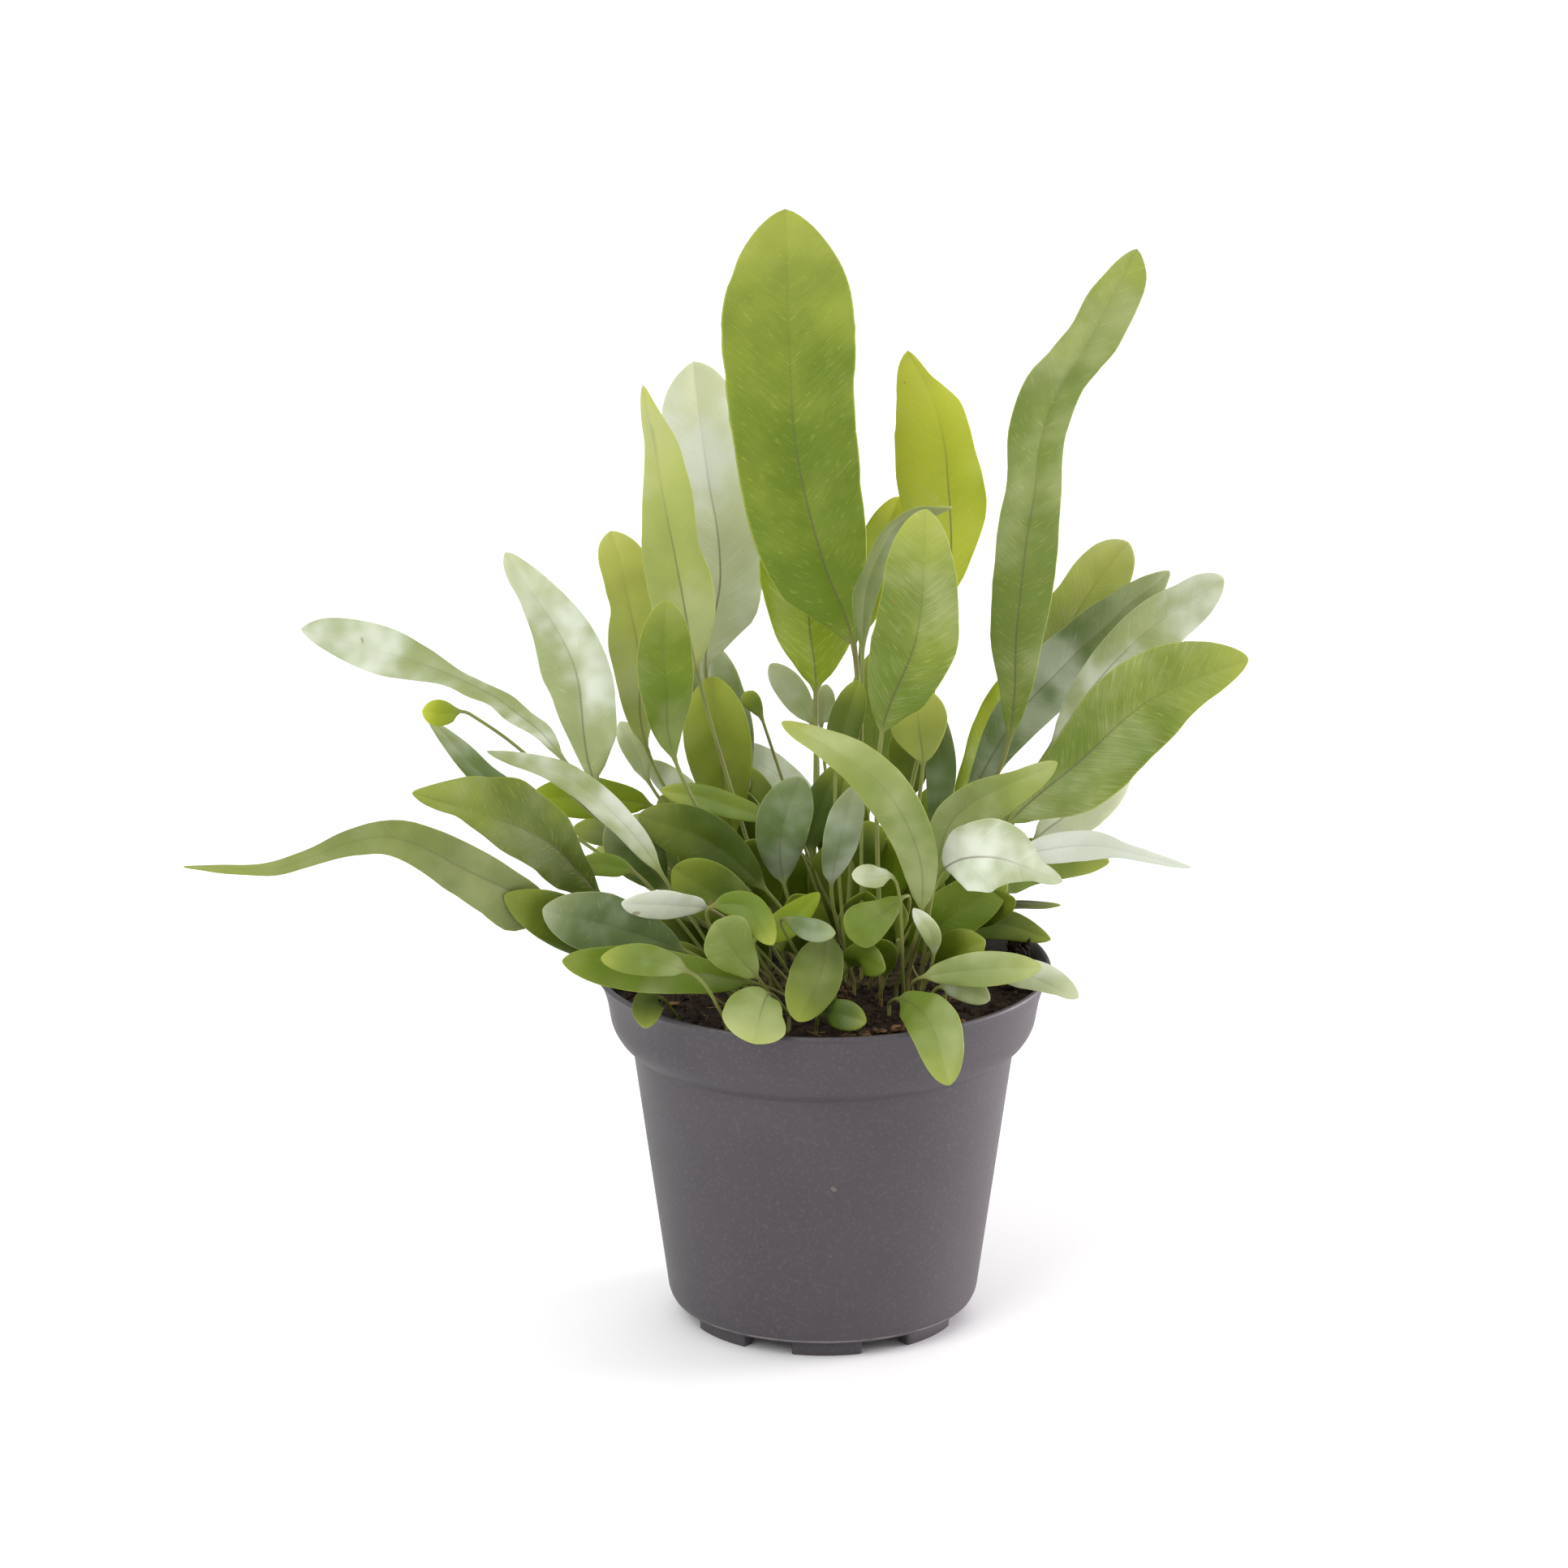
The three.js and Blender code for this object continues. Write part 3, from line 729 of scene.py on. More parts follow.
@dataclass(frozen=True)
class MixFinish:
    """Damp dark peat with paler fibres, fully matt."""

    peat: Colour = (0.012, 0.0075, 0.005)
    crumb: Colour = (0.062, 0.033, 0.017)
    fibre: Colour = (0.12, 0.075, 0.035)

    def material(self) -> bpy.types.Material:
        """Builds the mix's material.

        Returns:
            The material.
        """
        shader = Shader(Slot.MIX.value)
        place = shader.place()
        fine = shader.grain(place, 420.0, 4.0, 0.7)
        colour = shader.blend(shader.spread(fine, 0.4, 0.68), self.peat, self.crumb)
        lumps = shader.spread(shader.grain(place, 75.0, 3.0), 0.35, 0.7, 0.6, 0.0)
        colour = shader.blend(lumps, colour, self.peat)
        bits = shader.spread(shader.grain(place, 780.0, 1.0), 0.68, 0.74, 0.0, 0.8)
        colour = shader.blend(bits, colour, self.fibre)
        shader.raise_skin(fine, 0.8 * MM, 0.9)
        shader.set(Base_Color=colour, Roughness=0.95, Specular_IOR_Level=0.25)
        return shader.material


@dataclass(frozen=True)
class BarkFinish:
    """Dry tan bark, dead stalks and rhizome scales, in a darker and a lighter tone."""

    name: str
    dark: Colour
    pale: Colour

    def material(self) -> bpy.types.Material:
        """Builds the bark material.

        Returns:
            The material.
        """
        shader = Shader(self.name)
        place = shader.place()
        fine = shader.grain(place, 520.0, 4.0, 0.65)
        colour = shader.blend(shader.spread(fine, 0.35, 0.7), self.dark, self.pale)
        patches = shader.spread(shader.grain(place, 110.0, 2.0), 0.45, 0.7, 0.0, 0.5)
        colour = shader.blend(patches, colour, self.dark)
        shader.raise_skin(fine, 0.4 * MM, 0.8)
        shader.set(Base_Color=colour, Roughness=0.86, Specular_IOR_Level=0.3)
        return shader.material


DRY_BARK = BarkFinish("dry_bark", dark=(0.06, 0.03, 0.012), pale=(0.26, 0.145, 0.06))
RHIZOME_TAN = BarkFinish("rhizome", dark=(0.028, 0.02, 0.008), pale=(0.11, 0.085, 0.03))


# ---- Fronds ----------------------------------------------------------------


@dataclass(frozen=True)
class Station:
    """One cross-section of a frond: its midrib, its two halves and which way it faces."""

    rib: Vector
    side: Vector
    up: Vector
    left: float
    right: float
    sag: float

    @property
    def half(self) -> float:
        """Half of the full width."""
        return (self.left + self.right) / 2.0


class FrondSkeleton:
    """Reads a frond's cross-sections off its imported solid.

    The solid is a loft of rings of four points, with a single point at each
    end: two points on the margins and one on each face of the midrib.
    """

    def __init__(self, node: str) -> None:
        """Reads the solid of a node.

        Args:
            node: the solid's name.
        """
        self.shape = bmesh.new()
        self.shape.from_mesh(frame["nodes"][node].data)
        bmesh.ops.remove_doubles(self.shape, verts=self.shape.verts, dist=0.01 * MM)
        self.rings = self.read_rings()

    def read_rings(self) -> list[list[Vert]]:
        """Walks from the root's point to the tip's, ring by ring.

        Returns:
            The rings, root first.
        """
        ends = [vert for vert in self.shape.verts if len(vert.link_edges) == 4]
        start = min(ends, key=self.end_width)
        rings, seen = [[start]], {start}
        while True:
            ring = []
            for vert in rings[-1]:
                for edge in vert.link_edges:
                    other = edge.other_vert(vert)
                    if other not in seen:
                        seen.add(other)
                        ring.append(other)
            if not ring:
                return rings
            rings.append(ring)

    def end_width(self, end: Vert) -> float:
        """How much wider than thick the first ring at an end is.

        Args:
            end: the end's point.

        Returns:
            The ratio.
        """
        ring = [edge.other_vert(end) for edge in end.link_edges]
        spans = [(a.co - b.co).length for a, b in self.facing_pairs(ring)]
        return max(spans) / min(spans)

    @staticmethod
    def facing_pairs(ring: Sequence[Vert]) -> list[Pair]:
        """The two pairs of points that face each other across a ring of four.

        Args:
            ring: the ring's points.

        Returns:
            The pairs.
        """
        first = ring[0]
        beside = {edge.other_vert(first) for edge in first.link_edges}
        opposite = next((vert for vert in ring[1:] if vert not in beside), ring[2])
        others = [vert for vert in ring[1:] if vert is not opposite]
        return [(first, opposite), (others[0], others[1])]

    def stations(self) -> list[Station]:
        """The frond's cross-sections, root first, each facing like its neighbour.

        Returns:
            One station for each ring and one for each end.
        """
        middle = self.rings[1:-1]
        pairs = [self.facing_pairs(ring) for ring in middle]
        spans = [max((a.co - b.co).length for a, b in pair) for pair in pairs]
        widest = spans.index(max(spans))
        margins, faces = sorted(pairs[widest], key=lambda p: -(p[0].co - p[1].co).length)
        rise = (margins[0].co + margins[1].co - faces[0].co - faces[1].co).normalized()
        up = faces[0].co - faces[1].co
        up = up if up.dot(rise) > 0 else -up
        onward = middle[widest + 1][0].co - middle[widest - 1][0].co
        side = margins[0].co - margins[1].co
        side = side if side.cross(up).dot(onward) > 0 else -side
        found = {widest: self.station(pairs[widest], side, up)}
        for step in (1, -1):
            near = found[widest]
            at = widest + step
            while 0 <= at < len(middle):
                near = self.station(pairs[at], near.side, near.up)
                found[at] = near
                at += step
        made = [found[at] for at in range(len(middle))]
        root, tip = self.rings[0][0].co.copy(), self.rings[-1][0].co.copy()
        first = Station(root, made[0].side, made[0].up, made[0].left, made[0].right, 0.0)
        last = Station(tip, made[-1].side, made[-1].up, 0.0, 0.0, made[-1].sag * 0.3)
        self.shape.free()
        return [first, *made, last]

    @staticmethod
    def station(pairs: Sequence[Pair], side: Vector, up: Vector) -> Station:
        """A station from a ring's two facing pairs.

        Args:
            pairs: the ring's facing points.
            side: the way the neighbour's margin lies.
            up: the way the neighbour's upper face looks.

        Returns:
            The station, facing like its neighbour.
        """
        spans = [pair[0].co - pair[1].co for pair in pairs]
        along = [abs(span.normalized().dot(side.normalized())) for span in spans]
        wide = 0 if along[0] > along[1] else 1
        own_side, own_up = spans[wide], spans[1 - wide]
        own_side = own_side if own_side.dot(side) > 0 else -own_side
        own_up = own_up if own_up.dot(up) > 0 else -own_up
        rib = (pairs[1 - wide][0].co + pairs[1 - wide][1].co) / 2.0
        ends = [point.co - rib for point in pairs[wide]]
        if ends[0].dot(own_side) < 0.0:
            ends.reverse()
        face = own_up.normalized()
        lift = (ends[0].dot(face) + ends[1].dot(face)) / 2.0
        flat = own_side - face * own_side.dot(face)
        way = flat.normalized()
        return Station(rib, way, face, ends[0].dot(way), -ends[1].dot(way), lift)


class BladeLine:
    """A smooth line through a frond's stations, read by distance along it."""

    def __init__(self, stations: Sequence[Station]) -> None:
        """Lays the line and measures it.

        Args:
            stations: the cross-sections, root first.
        """
        self.stations = stations
        self.knots = [0.0]
        for before, after in zip(stations, stations[1:]):
            self.knots.append(self.knots[-1] + (after.rib - before.rib).length)
        self.length = self.knots[-1]
        power = 1.0 / TIP_ROUNDNESS
        self.lefts = [station.left**power for station in stations]
        self.rights = [station.right**power for station in stations]

    def slope(self, values: Sequence, at: int) -> object:
        """How fast values change at a station.

        Args:
            values: one value for each station.
            at: the station's number.

        Returns:
            The change per metre.
        """
        low, high = max(0, at - 1), min(len(values) - 1, at + 1)
        return (values[high] - values[low]) / (self.knots[high] - self.knots[low])

    def curve(self, values: Sequence, at: int, share: float) -> object:
        """Eases values between one station and the next.

        Args:
            values: one value for each station.
            at: number of the station before.
            share: how far on it is, 0 to 1.

        Returns:
            The value there.
        """
        step = self.knots[at + 1] - self.knots[at]
        two, three = share * share, share * share * share
        start = values[at] * (2 * three - 3 * two + 1)
        end = values[at + 1] * (3 * two - 2 * three)
        leave = self.slope(values, at) * (step * (three - 2 * two + share))
        arrive = self.slope(values, at + 1) * (step * (three - two))
        return start + leave + end + arrive

    def at(self, distance: float) -> Station:
        """The cross-section at a distance from the root.

        Args:
            distance: the distance, in metres.

        Returns:
            The cross-section.
        """
        index = 0
        while index < len(self.knots) - 2 and self.knots[index + 1] < distance:
            index += 1
        step = self.knots[index + 1] - self.knots[index]
        share = max(0.0, min(1.0, (distance - self.knots[index]) / step))
        before, after = self.stations[index], self.stations[index + 1]
        rib = self.curve([station.rib for station in self.stations], index, share)
        side = before.side.lerp(after.side, share).normalized()
        up = before.up.lerp(after.up, share)
        up = (up - side * up.dot(side)).normalized()
        left = max(0.0, self.curve(self.lefts, index, share)) ** TIP_ROUNDNESS
        right = max(0.0, self.curve(self.rights, index, share)) ** TIP_ROUNDNESS
        sag = before.sag + (after.sag - before.sag) * share
        return Station(rib, side, up, left, right, sag)


@dataclass
class Frond:
    """One frond: a round stalk that opens into a thin blade with a midrib."""

    name: str
    stations: list[Station]
    columns: int = 40
    rows: int = 68
    tint: float = 0.0
    age: float = 0.0
    buried: float = 7 * MM
    skin: float = 0.2 * MM
    opening: tuple[float, float] = (0.9 * MM, 2.6 * MM)
    broad: tuple[float, float] = (3.5 * MM, 11.0 * MM)
    tip_crowding: float = 1.35
    rib_crowding: float = 1.5
    rib_reach: float = 0.6 * MM
    groove: float = 0.07 * MM
    dents: tuple[float, float] = (1.7 * MM, 0.35 * MM)
    nibble: float = 0.045

    def __post_init__(self) -> None:
        """Sinks the stalk into the mix and settles the blade's ripples."""
        first = self.stations[0]
        foot = first.rib - Vector((0.0, 0.0, self.buried))
        sunk = Station(foot, first.side, first.up, first.left, first.right, 0.0)
        self.line = BladeLine([sunk, *self.stations])
        self.widest = max(station.half for station in self.stations)
        self.stalk_radius = min(0.72 * MM, 0.38 * MM + 0.02 * self.widest)
        self.ribbed = smooth_step(*self.broad, self.widest)
        chance = random.Random(self.name)
        self.wave = chance.uniform(13.0, 22.0) * MM
        self.phase = [chance.uniform(0.0, 2 * math.pi) for _ in range(2)]
        self.ripple_height = chance.uniform(0.03, 0.075) * self.widest
        self.drift = Vector((chance.uniform(0, 50), chance.uniform(0, 50), 0.0))
        rows = range(self.rows + 1)
        self.sections = [self.line.at(self.distance(row)) for row in rows]
        self.widest_row = max(rows, key=lambda row: self.sections[row].half)
        self.shares = [self.blade_share(row) for row in rows]
        self.blade_start = next(row for row in rows if self.shares[row] > 0.0)

    def distance(self, row: int) -> float:
        """Distance of a row from the root; rows crowd towards the tip."""
        share = 1.0 - (1.0 - row / self.rows) ** self.tip_crowding
        return self.line.length * share

    def across(self, column: int) -> float:
        """Where a column lies between the margins, -1 to 1, crowded at the midrib."""
        swing = math.cos(2.0 * math.pi * column / self.columns)
        return math.copysign(abs(swing) ** self.rib_crowding, swing)

    def blade_share(self, row: int) -> float:
        """How much a row is blade rather than stalk; a narrow tip stays blade."""
        opened = smooth_step(*self.opening, self.sections[row].half)
        return 1.0 if row > self.widest_row else opened

    def place(self, column: int, row: int) -> Vector:
        """Where the skin lies at a column and row.

        Args:
            column: column round the frond.
            row: row along it.

        Returns:
            The point.
        """
        section = self.sections[row]
        if row in (0, self.rows):
            return section.rib.copy()
        turn = 2.0 * math.pi * column / self.columns
        radius = self.stalk_radius
        swing, rise = math.cos(turn), math.sin(turn)
        round_point = section.rib + section.side * (radius * swing) + section.up * (radius * rise)
        opened = self.shares[row]
        if opened <= 0.0:
            return round_point
        return round_point.lerp(self.blade_point(column, row, section, rise), opened)

    def blade_point(self, column: int, row: int, section: Station, rise: float) -> Vector:
        """Where the blade's skin lies, upper or lower face.

        Args:
            column: column round the frond.
            row: row along it.
            section: the cross-section at that row.
            rise: 0 or more for the upper face, below 0 for the lower one.

        Returns:
            The point.
        """
        across = self.across(column)
        out = abs(across)
        reach = row / self.rows
        half = section.left if across > 0 else section.right
        lateral = across * half
        size = min(1.0, half / (5 * MM))
        lift = section.sag * out * out + 0.05 * half * math.sin(math.pi * out)
        along = self.distance(row)
        wave = math.sin(2 * math.pi * along / self.wave + self.phase[across > 0])
        lift += self.ripple_height * wave * out**2.5 * math.sin(math.pi * reach)
        spot = Vector((lateral, along, 0.0)) + self.drift
        broad_dent, small_dent = self.dents
        lift += size * (broad_dent * ripple(spot, 42.0, 2) + small_dent * ripple(spot, 160.0, 1))
        rib_share = math.exp(-((lateral / self.rib_reach) ** 2))
        fading = (1.0 - reach) ** 0.6 * (0.25 + 0.75 * self.ribbed)
        thin = self.skin * math.sqrt(max(0.0, 1.0 - out**6))
        if rise >= 0.0:
            lift += thin - self.groove * rib_share * fading * size
        else:
            lift -= thin + self.stalk_radius * 0.4 * rib_share * fading
        beside = Vector((along * 0.6, 3.0 * (across > 0), 0.0)) + self.drift
        pinch = self.nibble * ripple(beside, 120.0, 2) + 0.012 * ripple(beside, 700.0, 1)
        lateral *= 1.0 - pinch * out**3
        return section.rib + section.side * lateral + section.up * lift

    def marks(self, column: int, row: int) -> Marks:
        """What the finish is told at a column and row.

        Args:
            column: column round the frond.
            row: row along it.

        Returns:
            The point's marks.
        """
        across = self.across(column)
        opened = self.shares[row]
        section = self.sections[row]
        half = section.left if across > 0 else section.right
        start = self.blade_start
        return Marks(
            across_cm=across * half / CM,
            along_cm=self.distance(row) / CM,
            edge=abs(across) * opened,
            stalk=1.0 - opened,
            underside=1.0 if column > self.columns / 2 else 0.0,
            reach=max(0.0, (row - start) / (self.rows - start)),
            ribbed=self.ribbed,
            tint=self.tint,
            age=self.age,
        )

    def build(self) -> bpy.types.Mesh:
        """Makes the frond's mesh."""
        skin = wrapped_skin(self.columns, self.rows, self.place, self.marks)
        return mesh_from(skin, self.name)


class Outline(Enum):
    """How a blade swells from its neck and closes towards its tip."""

    STRAP = (3.0, 5.0)
    ROUND = (1.2, 7.0)
    LANCE = (3.0, 2.2)

    def share(self, at: float) -> float:
        """Share of the blade's width from 0 at the neck to 1 at the tip."""
        swell, taper = self.value
        return (1.0 - (1.0 - at) ** swell) * (1.0 - at**taper) ** TIP_ROUNDNESS


@dataclass(frozen=True)
class SmallFrond:
    """A frond too small for a solid of its own, given in millimetres."""

    name: str
    blade: tuple[Point, Point, Point]
    root: tuple[float, float]
    width: float
    slot: Slot
    outline: Outline = Outline.STRAP
    turn: float = 0.0
    tint: float = 0.0
    steps: int = 14
    stalk_half: float = 0.8
    hollow: float = 0.1

    def stations(self, root_height: float) -> list[Station]:
        """Lays the frond's cross-sections.

        Args:
            root_height: height at which its stalk leaves the mix.

        Returns:
            The stations, root first.
        """
        points = [Vector((*self.root, root_height / MM))] + [Vector(p) for p in self.blade]
        peak = max(self.outline.share(step / 20.0) for step in range(21))
        made = []
        inwards = Vector((0.0, 1.0, -0.3)).normalized()
        for step in range(self.steps + 1):
            at = 3.0 * step / self.steps
            rib, onward = self.along(points, at)
            side = onward.cross(inwards).normalized()
            side = Matrix.Rotation(math.radians(self.turn), 3, onward) @ side
            up = onward.cross(side)
            grown = max(0.0, (at - 1.0) / 2.0)
            least = self.stalk_half if grown < 0.5 else 0.0
            half = max(least, self.width / 2 * self.outline.share(grown) / peak) * MM
            made.append(Station(rib * MM, side, up, half, half, self.hollow * half))
        return made

    @staticmethod
    def along(points: list[Vector], at: float) -> tuple[Vector, Vector]:
        """A smooth line's point and direction.

        Args:
            points: the line's four points.
            at: where to read it, from 0 at the first to 3 at the last.

        Returns:
            The point there and the unit direction.
        """
        index = min(int(at), len(points) - 2)
        share = at - index
        before = points[index - 1] if index else points[0] * 2 - points[1]
        last = index + 2 >= len(points)
        after = points[index + 1] * 2 - points[index] if last else points[index + 2]
        start, end = points[index], points[index + 1]
        leave, arrive = (end - before) / 2.0, (after - start) / 2.0
        two, three = share**2, share**3
        rib = start * (2 * three - 3 * two + 1) + end * (3 * two - 2 * three)
        rib = rib + leave * (three - 2 * two + share) + arrive * (three - two)
        way = (end - start) * (6 * share - 6 * two) + leave * (3 * two - 4 * share + 1)
        way = way + arrive * (3 * two - 2 * share)
        return rib, way.normalized()


# The many low fronds in the middle of the crown are mostly olive, with some darkened sage ones:
# real leaves, whose dark green is also painted shade for the crowded low centre.
SMALL_FRONDS = (
    SmallFrond(
        "small_grey", ((-11, -41, 121), (-4, -46, 121), (3, -50, 121)), (0, -12), 6, Slot.BLUE
    ),
    SmallFrond(
        "fiddle", ((-13, 26, 146), (-17, 28, 157), (-21, 29, 162)), (5, 20), 5, Slot.SAGE,
        Outline.ROUND,
    ),
    SmallFrond(
        "pale_small", ((19, -43, 131), (13, -46, 135), (7, -47, 136)), (21, -19), 6, Slot.PALE
    ),
    SmallFrond(
        "narrow_pale", ((28, -30, 106), (28, -34, 115), (23, -38, 124)), (24, -20), 5, Slot.PALE
    ),
    SmallFrond(
        "right_thin", ((36, 20, 101), (48, 24, 105), (63, 26, 104)), (30, 18), 7, Slot.OLIVE,
        turn=70,
    ),
    SmallFrond(
        "rim_tiny", ((29, -29, 99), (36, -34, 101), (43, -38, 99)), (27, -26), 7, Slot.PALE,
        tint=-0.4,
    ),
    SmallFrond(
        "rim_dark_front", ((-1, -44, 97), (4, -49, 99), (11, -53, 98)), (-2, -38), 8, Slot.OLIVE
    ),
    SmallFrond(
        "rim_dark_left", ((-42, -36, 99), (-45, -46, 101), (-46, -55, 97)), (-38, -28), 8,
        Slot.OLIVE,
    ),
    SmallFrond(
        "low_dark_back", ((-12, 32, 97), (-18, 37, 103), (-24, 40, 108)), (-6, 28), 11, Slot.OLIVE
    ),
    SmallFrond("edge_line", ((-8, 0, 130), (-26, 4, 139), (-43, 10, 141)), (6, 10), 7, Slot.SAGE),
    SmallFrond(
        "pale_left_one", ((-43, 42, 128), (-49, 48, 139), (-54, 52, 147)), (-12, 28), 7, Slot.PALE
    ),
    SmallFrond(
        "pale_left_two", ((-27, 40, 121), (-36, 46, 128), (-47, 52, 136)), (-6, 31), 8, Slot.PALE
    ),
    SmallFrond(
        "centre_reach", ((-18, -34, 113), (-10, -30, 117), (-1, -25, 124)), (-8, -20), 8,
        Slot.BRIGHT, Outline.LANCE, tint=-0.7,
    ),
    SmallFrond("peek_centre", ((0, 46, 142), (0, 48, 150), (1, 50, 158)), (6, 26), 6.5, Slot.PALE),
    SmallFrond(
        "left_strap", ((-45, -26, 126), (-55, -30, 133), (-65, -34, 134)), (-22, -12), 6, Slot.SAGE
    ),
    SmallFrond(
        "left_base", ((-44, -36, 109), (-60, -47, 120), (-82, -58, 134)), (-22, -26), 14,
        Slot.OLIVE, tint=-0.2,
    ),
    SmallFrond(
        "right_low_green", ((23, -8, 101), (32, -10, 112), (48, -8, 122)), (26, -4), 14, Slot.SAGE,
        tint=-0.4,
    ),
    SmallFrond(
        "low_centre_one", ((6, -22, 102), (10, -30, 108), (16, -37, 107)), (2, -14), 9, Slot.SAGE,
        turn=20, tint=-0.9,
    ),
    SmallFrond(
        "low_centre_two", ((-4, -18, 104), (-8, -27, 113), (-14, -33, 116)), (-1, -10), 11,
        Slot.OLIVE,
    ),
    SmallFrond(
        "low_centre_three", ((14, -12, 104), (17, -19, 114), (22, -26, 118)), (12, -6), 12,
        Slot.OLIVE, turn=-15,
    ),
    SmallFrond(
        "low_centre_four", ((-12, 6, 108), (-16, 2, 121), (-21, -4, 131)), (-6, 8), 12, Slot.SAGE,
        turn=10, tint=-0.5,
    ),
    SmallFrond(
        "low_centre_five", ((12, 6, 106), (17, 2, 120), (20, -4, 133)), (8, 10), 12, Slot.SAGE,
        turn=-10, tint=-0.4,
    ),
    SmallFrond(
        "low_right_one", ((34, 2, 102), (40, -4, 112), (50, -12, 118)), (28, 2), 10, Slot.OLIVE,
        turn=15,
    ),
    SmallFrond(
        "low_right_two", ((24, 10, 106), (33, 8, 120), (42, 4, 132)), (18, 12), 13, Slot.OLIVE
    ),
    SmallFrond(
        "low_left_one", ((-24, 0, 104), (-31, -6, 114), (-41, -13, 118)), (-16, 2), 11, Slot.SAGE,
        turn=20, tint=-0.6,
    ),
    SmallFrond(
        "low_left_two", ((-22, 14, 106), (-30, 12, 120), (-38, 8, 130)), (-14, 14), 12, Slot.OLIVE
    ),
    SmallFrond("low_back_one", ((2, 22, 108), (5, 20, 124), (8, 17, 138)), (4, 20), 13, Slot.OLIVE),
    SmallFrond(
        "low_back_two", ((-14, 26, 108), (-20, 25, 124), (-25, 24, 138)), (-10, 24), 12, Slot.OLIVE
    ),
    SmallFrond(
        "low_back_three", ((32, 24, 106), (40, 26, 120), (50, 27, 132)), (24, 20), 12, Slot.SAGE,
        turn=20, tint=-0.5,
    ),
    SmallFrond(
        "mid_one", ((4, 14, 98), (3, 12, 111), (2, 10, 127)), (3, 16), 15, Slot.OLIVE,
        turn=15, tint=0.2,
    ),
    SmallFrond(
        "mid_two", ((14, 16, 98), (15, 14, 112), (16, 12, 128)), (12, 17), 15, Slot.OLIVE,
        turn=-10, tint=0.1,
    ),
    SmallFrond(
        "mid_three", ((22, 8, 97), (24, 5, 109), (28, 2, 123)), (20, 10), 14, Slot.OLIVE, tint=0.3
    ),
    SmallFrond(
        "mid_four", ((-6, 16, 98), (-8, 14, 111), (-12, 12, 126)), (-5, 17), 14, Slot.SAGE,
        turn=10, tint=-0.9,
    ),
    SmallFrond(
        "mid_five", ((8, 2, 97), (9, -1, 107), (11, -5, 118)), (7, 4), 11, Slot.SAGE,
        turn=20, tint=-0.9,
    ),
    SmallFrond(
        "mid_six", ((-2, 2, 97), (-4, -1, 107), (-8, -5, 117)), (-1, 4), 11, Slot.OLIVE, tint=0.3
    ),
    SmallFrond(
        "mid_seven", ((30, 18, 97), (34, 16, 109), (40, 13, 122)), (26, 18), 13, Slot.OLIVE,
        tint=0.2,
    ),
    SmallFrond(
        "mid_eight", ((-16, -6, 97), (-20, -12, 106), (-27, -18, 114)), (-13, -4), 12, Slot.OLIVE,
        tint=0.2,
    ),
    SmallFrond(
        "mid_nine", ((16, -18, 98), (15, -25, 106), (13, -31, 113)), (14, -14), 9, Slot.SAGE,
        tint=-0.9,
    ),
    SmallFrond(
        "mid_ten", ((28, -14, 98), (34, -20, 106), (42, -25, 111)), (24, -12), 11, Slot.OLIVE,
        tint=0.2,
    ),
    SmallFrond(
        "mid_eleven", ((-28, -20, 98), (-36, -28, 105), (-46, -34, 110)), (-22, -18), 12,
        Slot.OLIVE, tint=0.3,
    ),
    SmallFrond(
        "mid_twelve", ((-26, 26, 98), (-32, 28, 108), (-42, 30, 117)), (-20, 24), 13, Slot.OLIVE,
        turn=20,
    ),
    SmallFrond(
        "mid_thirteen", ((-28, 2, 98), (-35, -2, 105), (-43, -7, 111)), (-22, 6), 13, Slot.OLIVE,
        tint=0.1,
    ),
    SmallFrond(
        "mid_fourteen", ((-34, 12, 98), (-38, 12, 105), (-44, 12, 112)), (-28, 12), 13, Slot.SAGE,
        tint=-0.8,
    ),
    SmallFrond(
        "back_mid_one", ((-12, 36, 104), (-17, 44, 118), (-22, 50, 136)), (-8, 28), 15, Slot.SAGE,
        turn=20, tint=-0.5,
    ),
    SmallFrond(
        "back_mid_two", ((6, 38, 104), (5, 47, 117), (3, 54, 132)), (4, 30), 15, Slot.OLIVE,
        turn=-10, tint=0.3,
    ),
    SmallFrond(
        "back_mid_three", ((22, 36, 104), (27, 45, 116), (33, 52, 130)), (17, 29), 14, Slot.SAGE,
        turn=10, tint=-0.4,
    ),
    SmallFrond(
        "back_mid_four", ((-26, 32, 104), (-34, 40, 115), (-43, 47, 128)), (-18, 26), 14,
        Slot.OLIVE, turn=25, tint=0.2,
    ),
    SmallFrond(
        "back_mid_five", ((14, 40, 102), (18, 54, 112), (23, 68, 114)), (10, 32), 13, Slot.BLUE,
        turn=60,
    ),
    SmallFrond(
        "back_low_left", ((-36, 38, 104), (-50, 50, 110), (-63, 60, 106)), (-22, 28), 13, Slot.SAGE,
        turn=50,
    ),
    SmallFrond(
        "back_low_mid", ((-4, 44, 108), (-6, 60, 115), (-9, 76, 108)), (-2, 33), 14, Slot.BRIGHT,
        turn=80,
    ),
    SmallFrond(
        "back_low_right", ((40, 34, 106), (52, 46, 112), (66, 57, 108)), (28, 27), 13, Slot.OLIVE,
        turn=60,
    ),
    SmallFrond(
        "back_up_left", ((-20, 44, 125), (-26, 56, 145), (-32, 66, 166)), (-10, 30), 16, Slot.BLUE,
        turn=25,
    ),
    SmallFrond(
        "back_up_mid", ((12, 48, 122), (14, 60, 143), (16, 70, 163)), (6, 30), 15, Slot.SAGE,
        turn=-20,
    ),
    SmallFrond(
        "back_up_right", ((34, 42, 122), (44, 54, 140), (54, 63, 160)), (22, 30), 15, Slot.BRIGHT,
        turn=30,
    ),
    SmallFrond(
        "back_side_left", ((-34, 20, 112), (-50, 26, 122), (-66, 32, 124)), (-24, 16), 12,
        Slot.OLIVE, turn=40,
    ),
    SmallFrond(
        "back_side_right", ((46, 18, 108), (60, 26, 116), (76, 32, 114)), (34, 14), 12, Slot.SAGE,
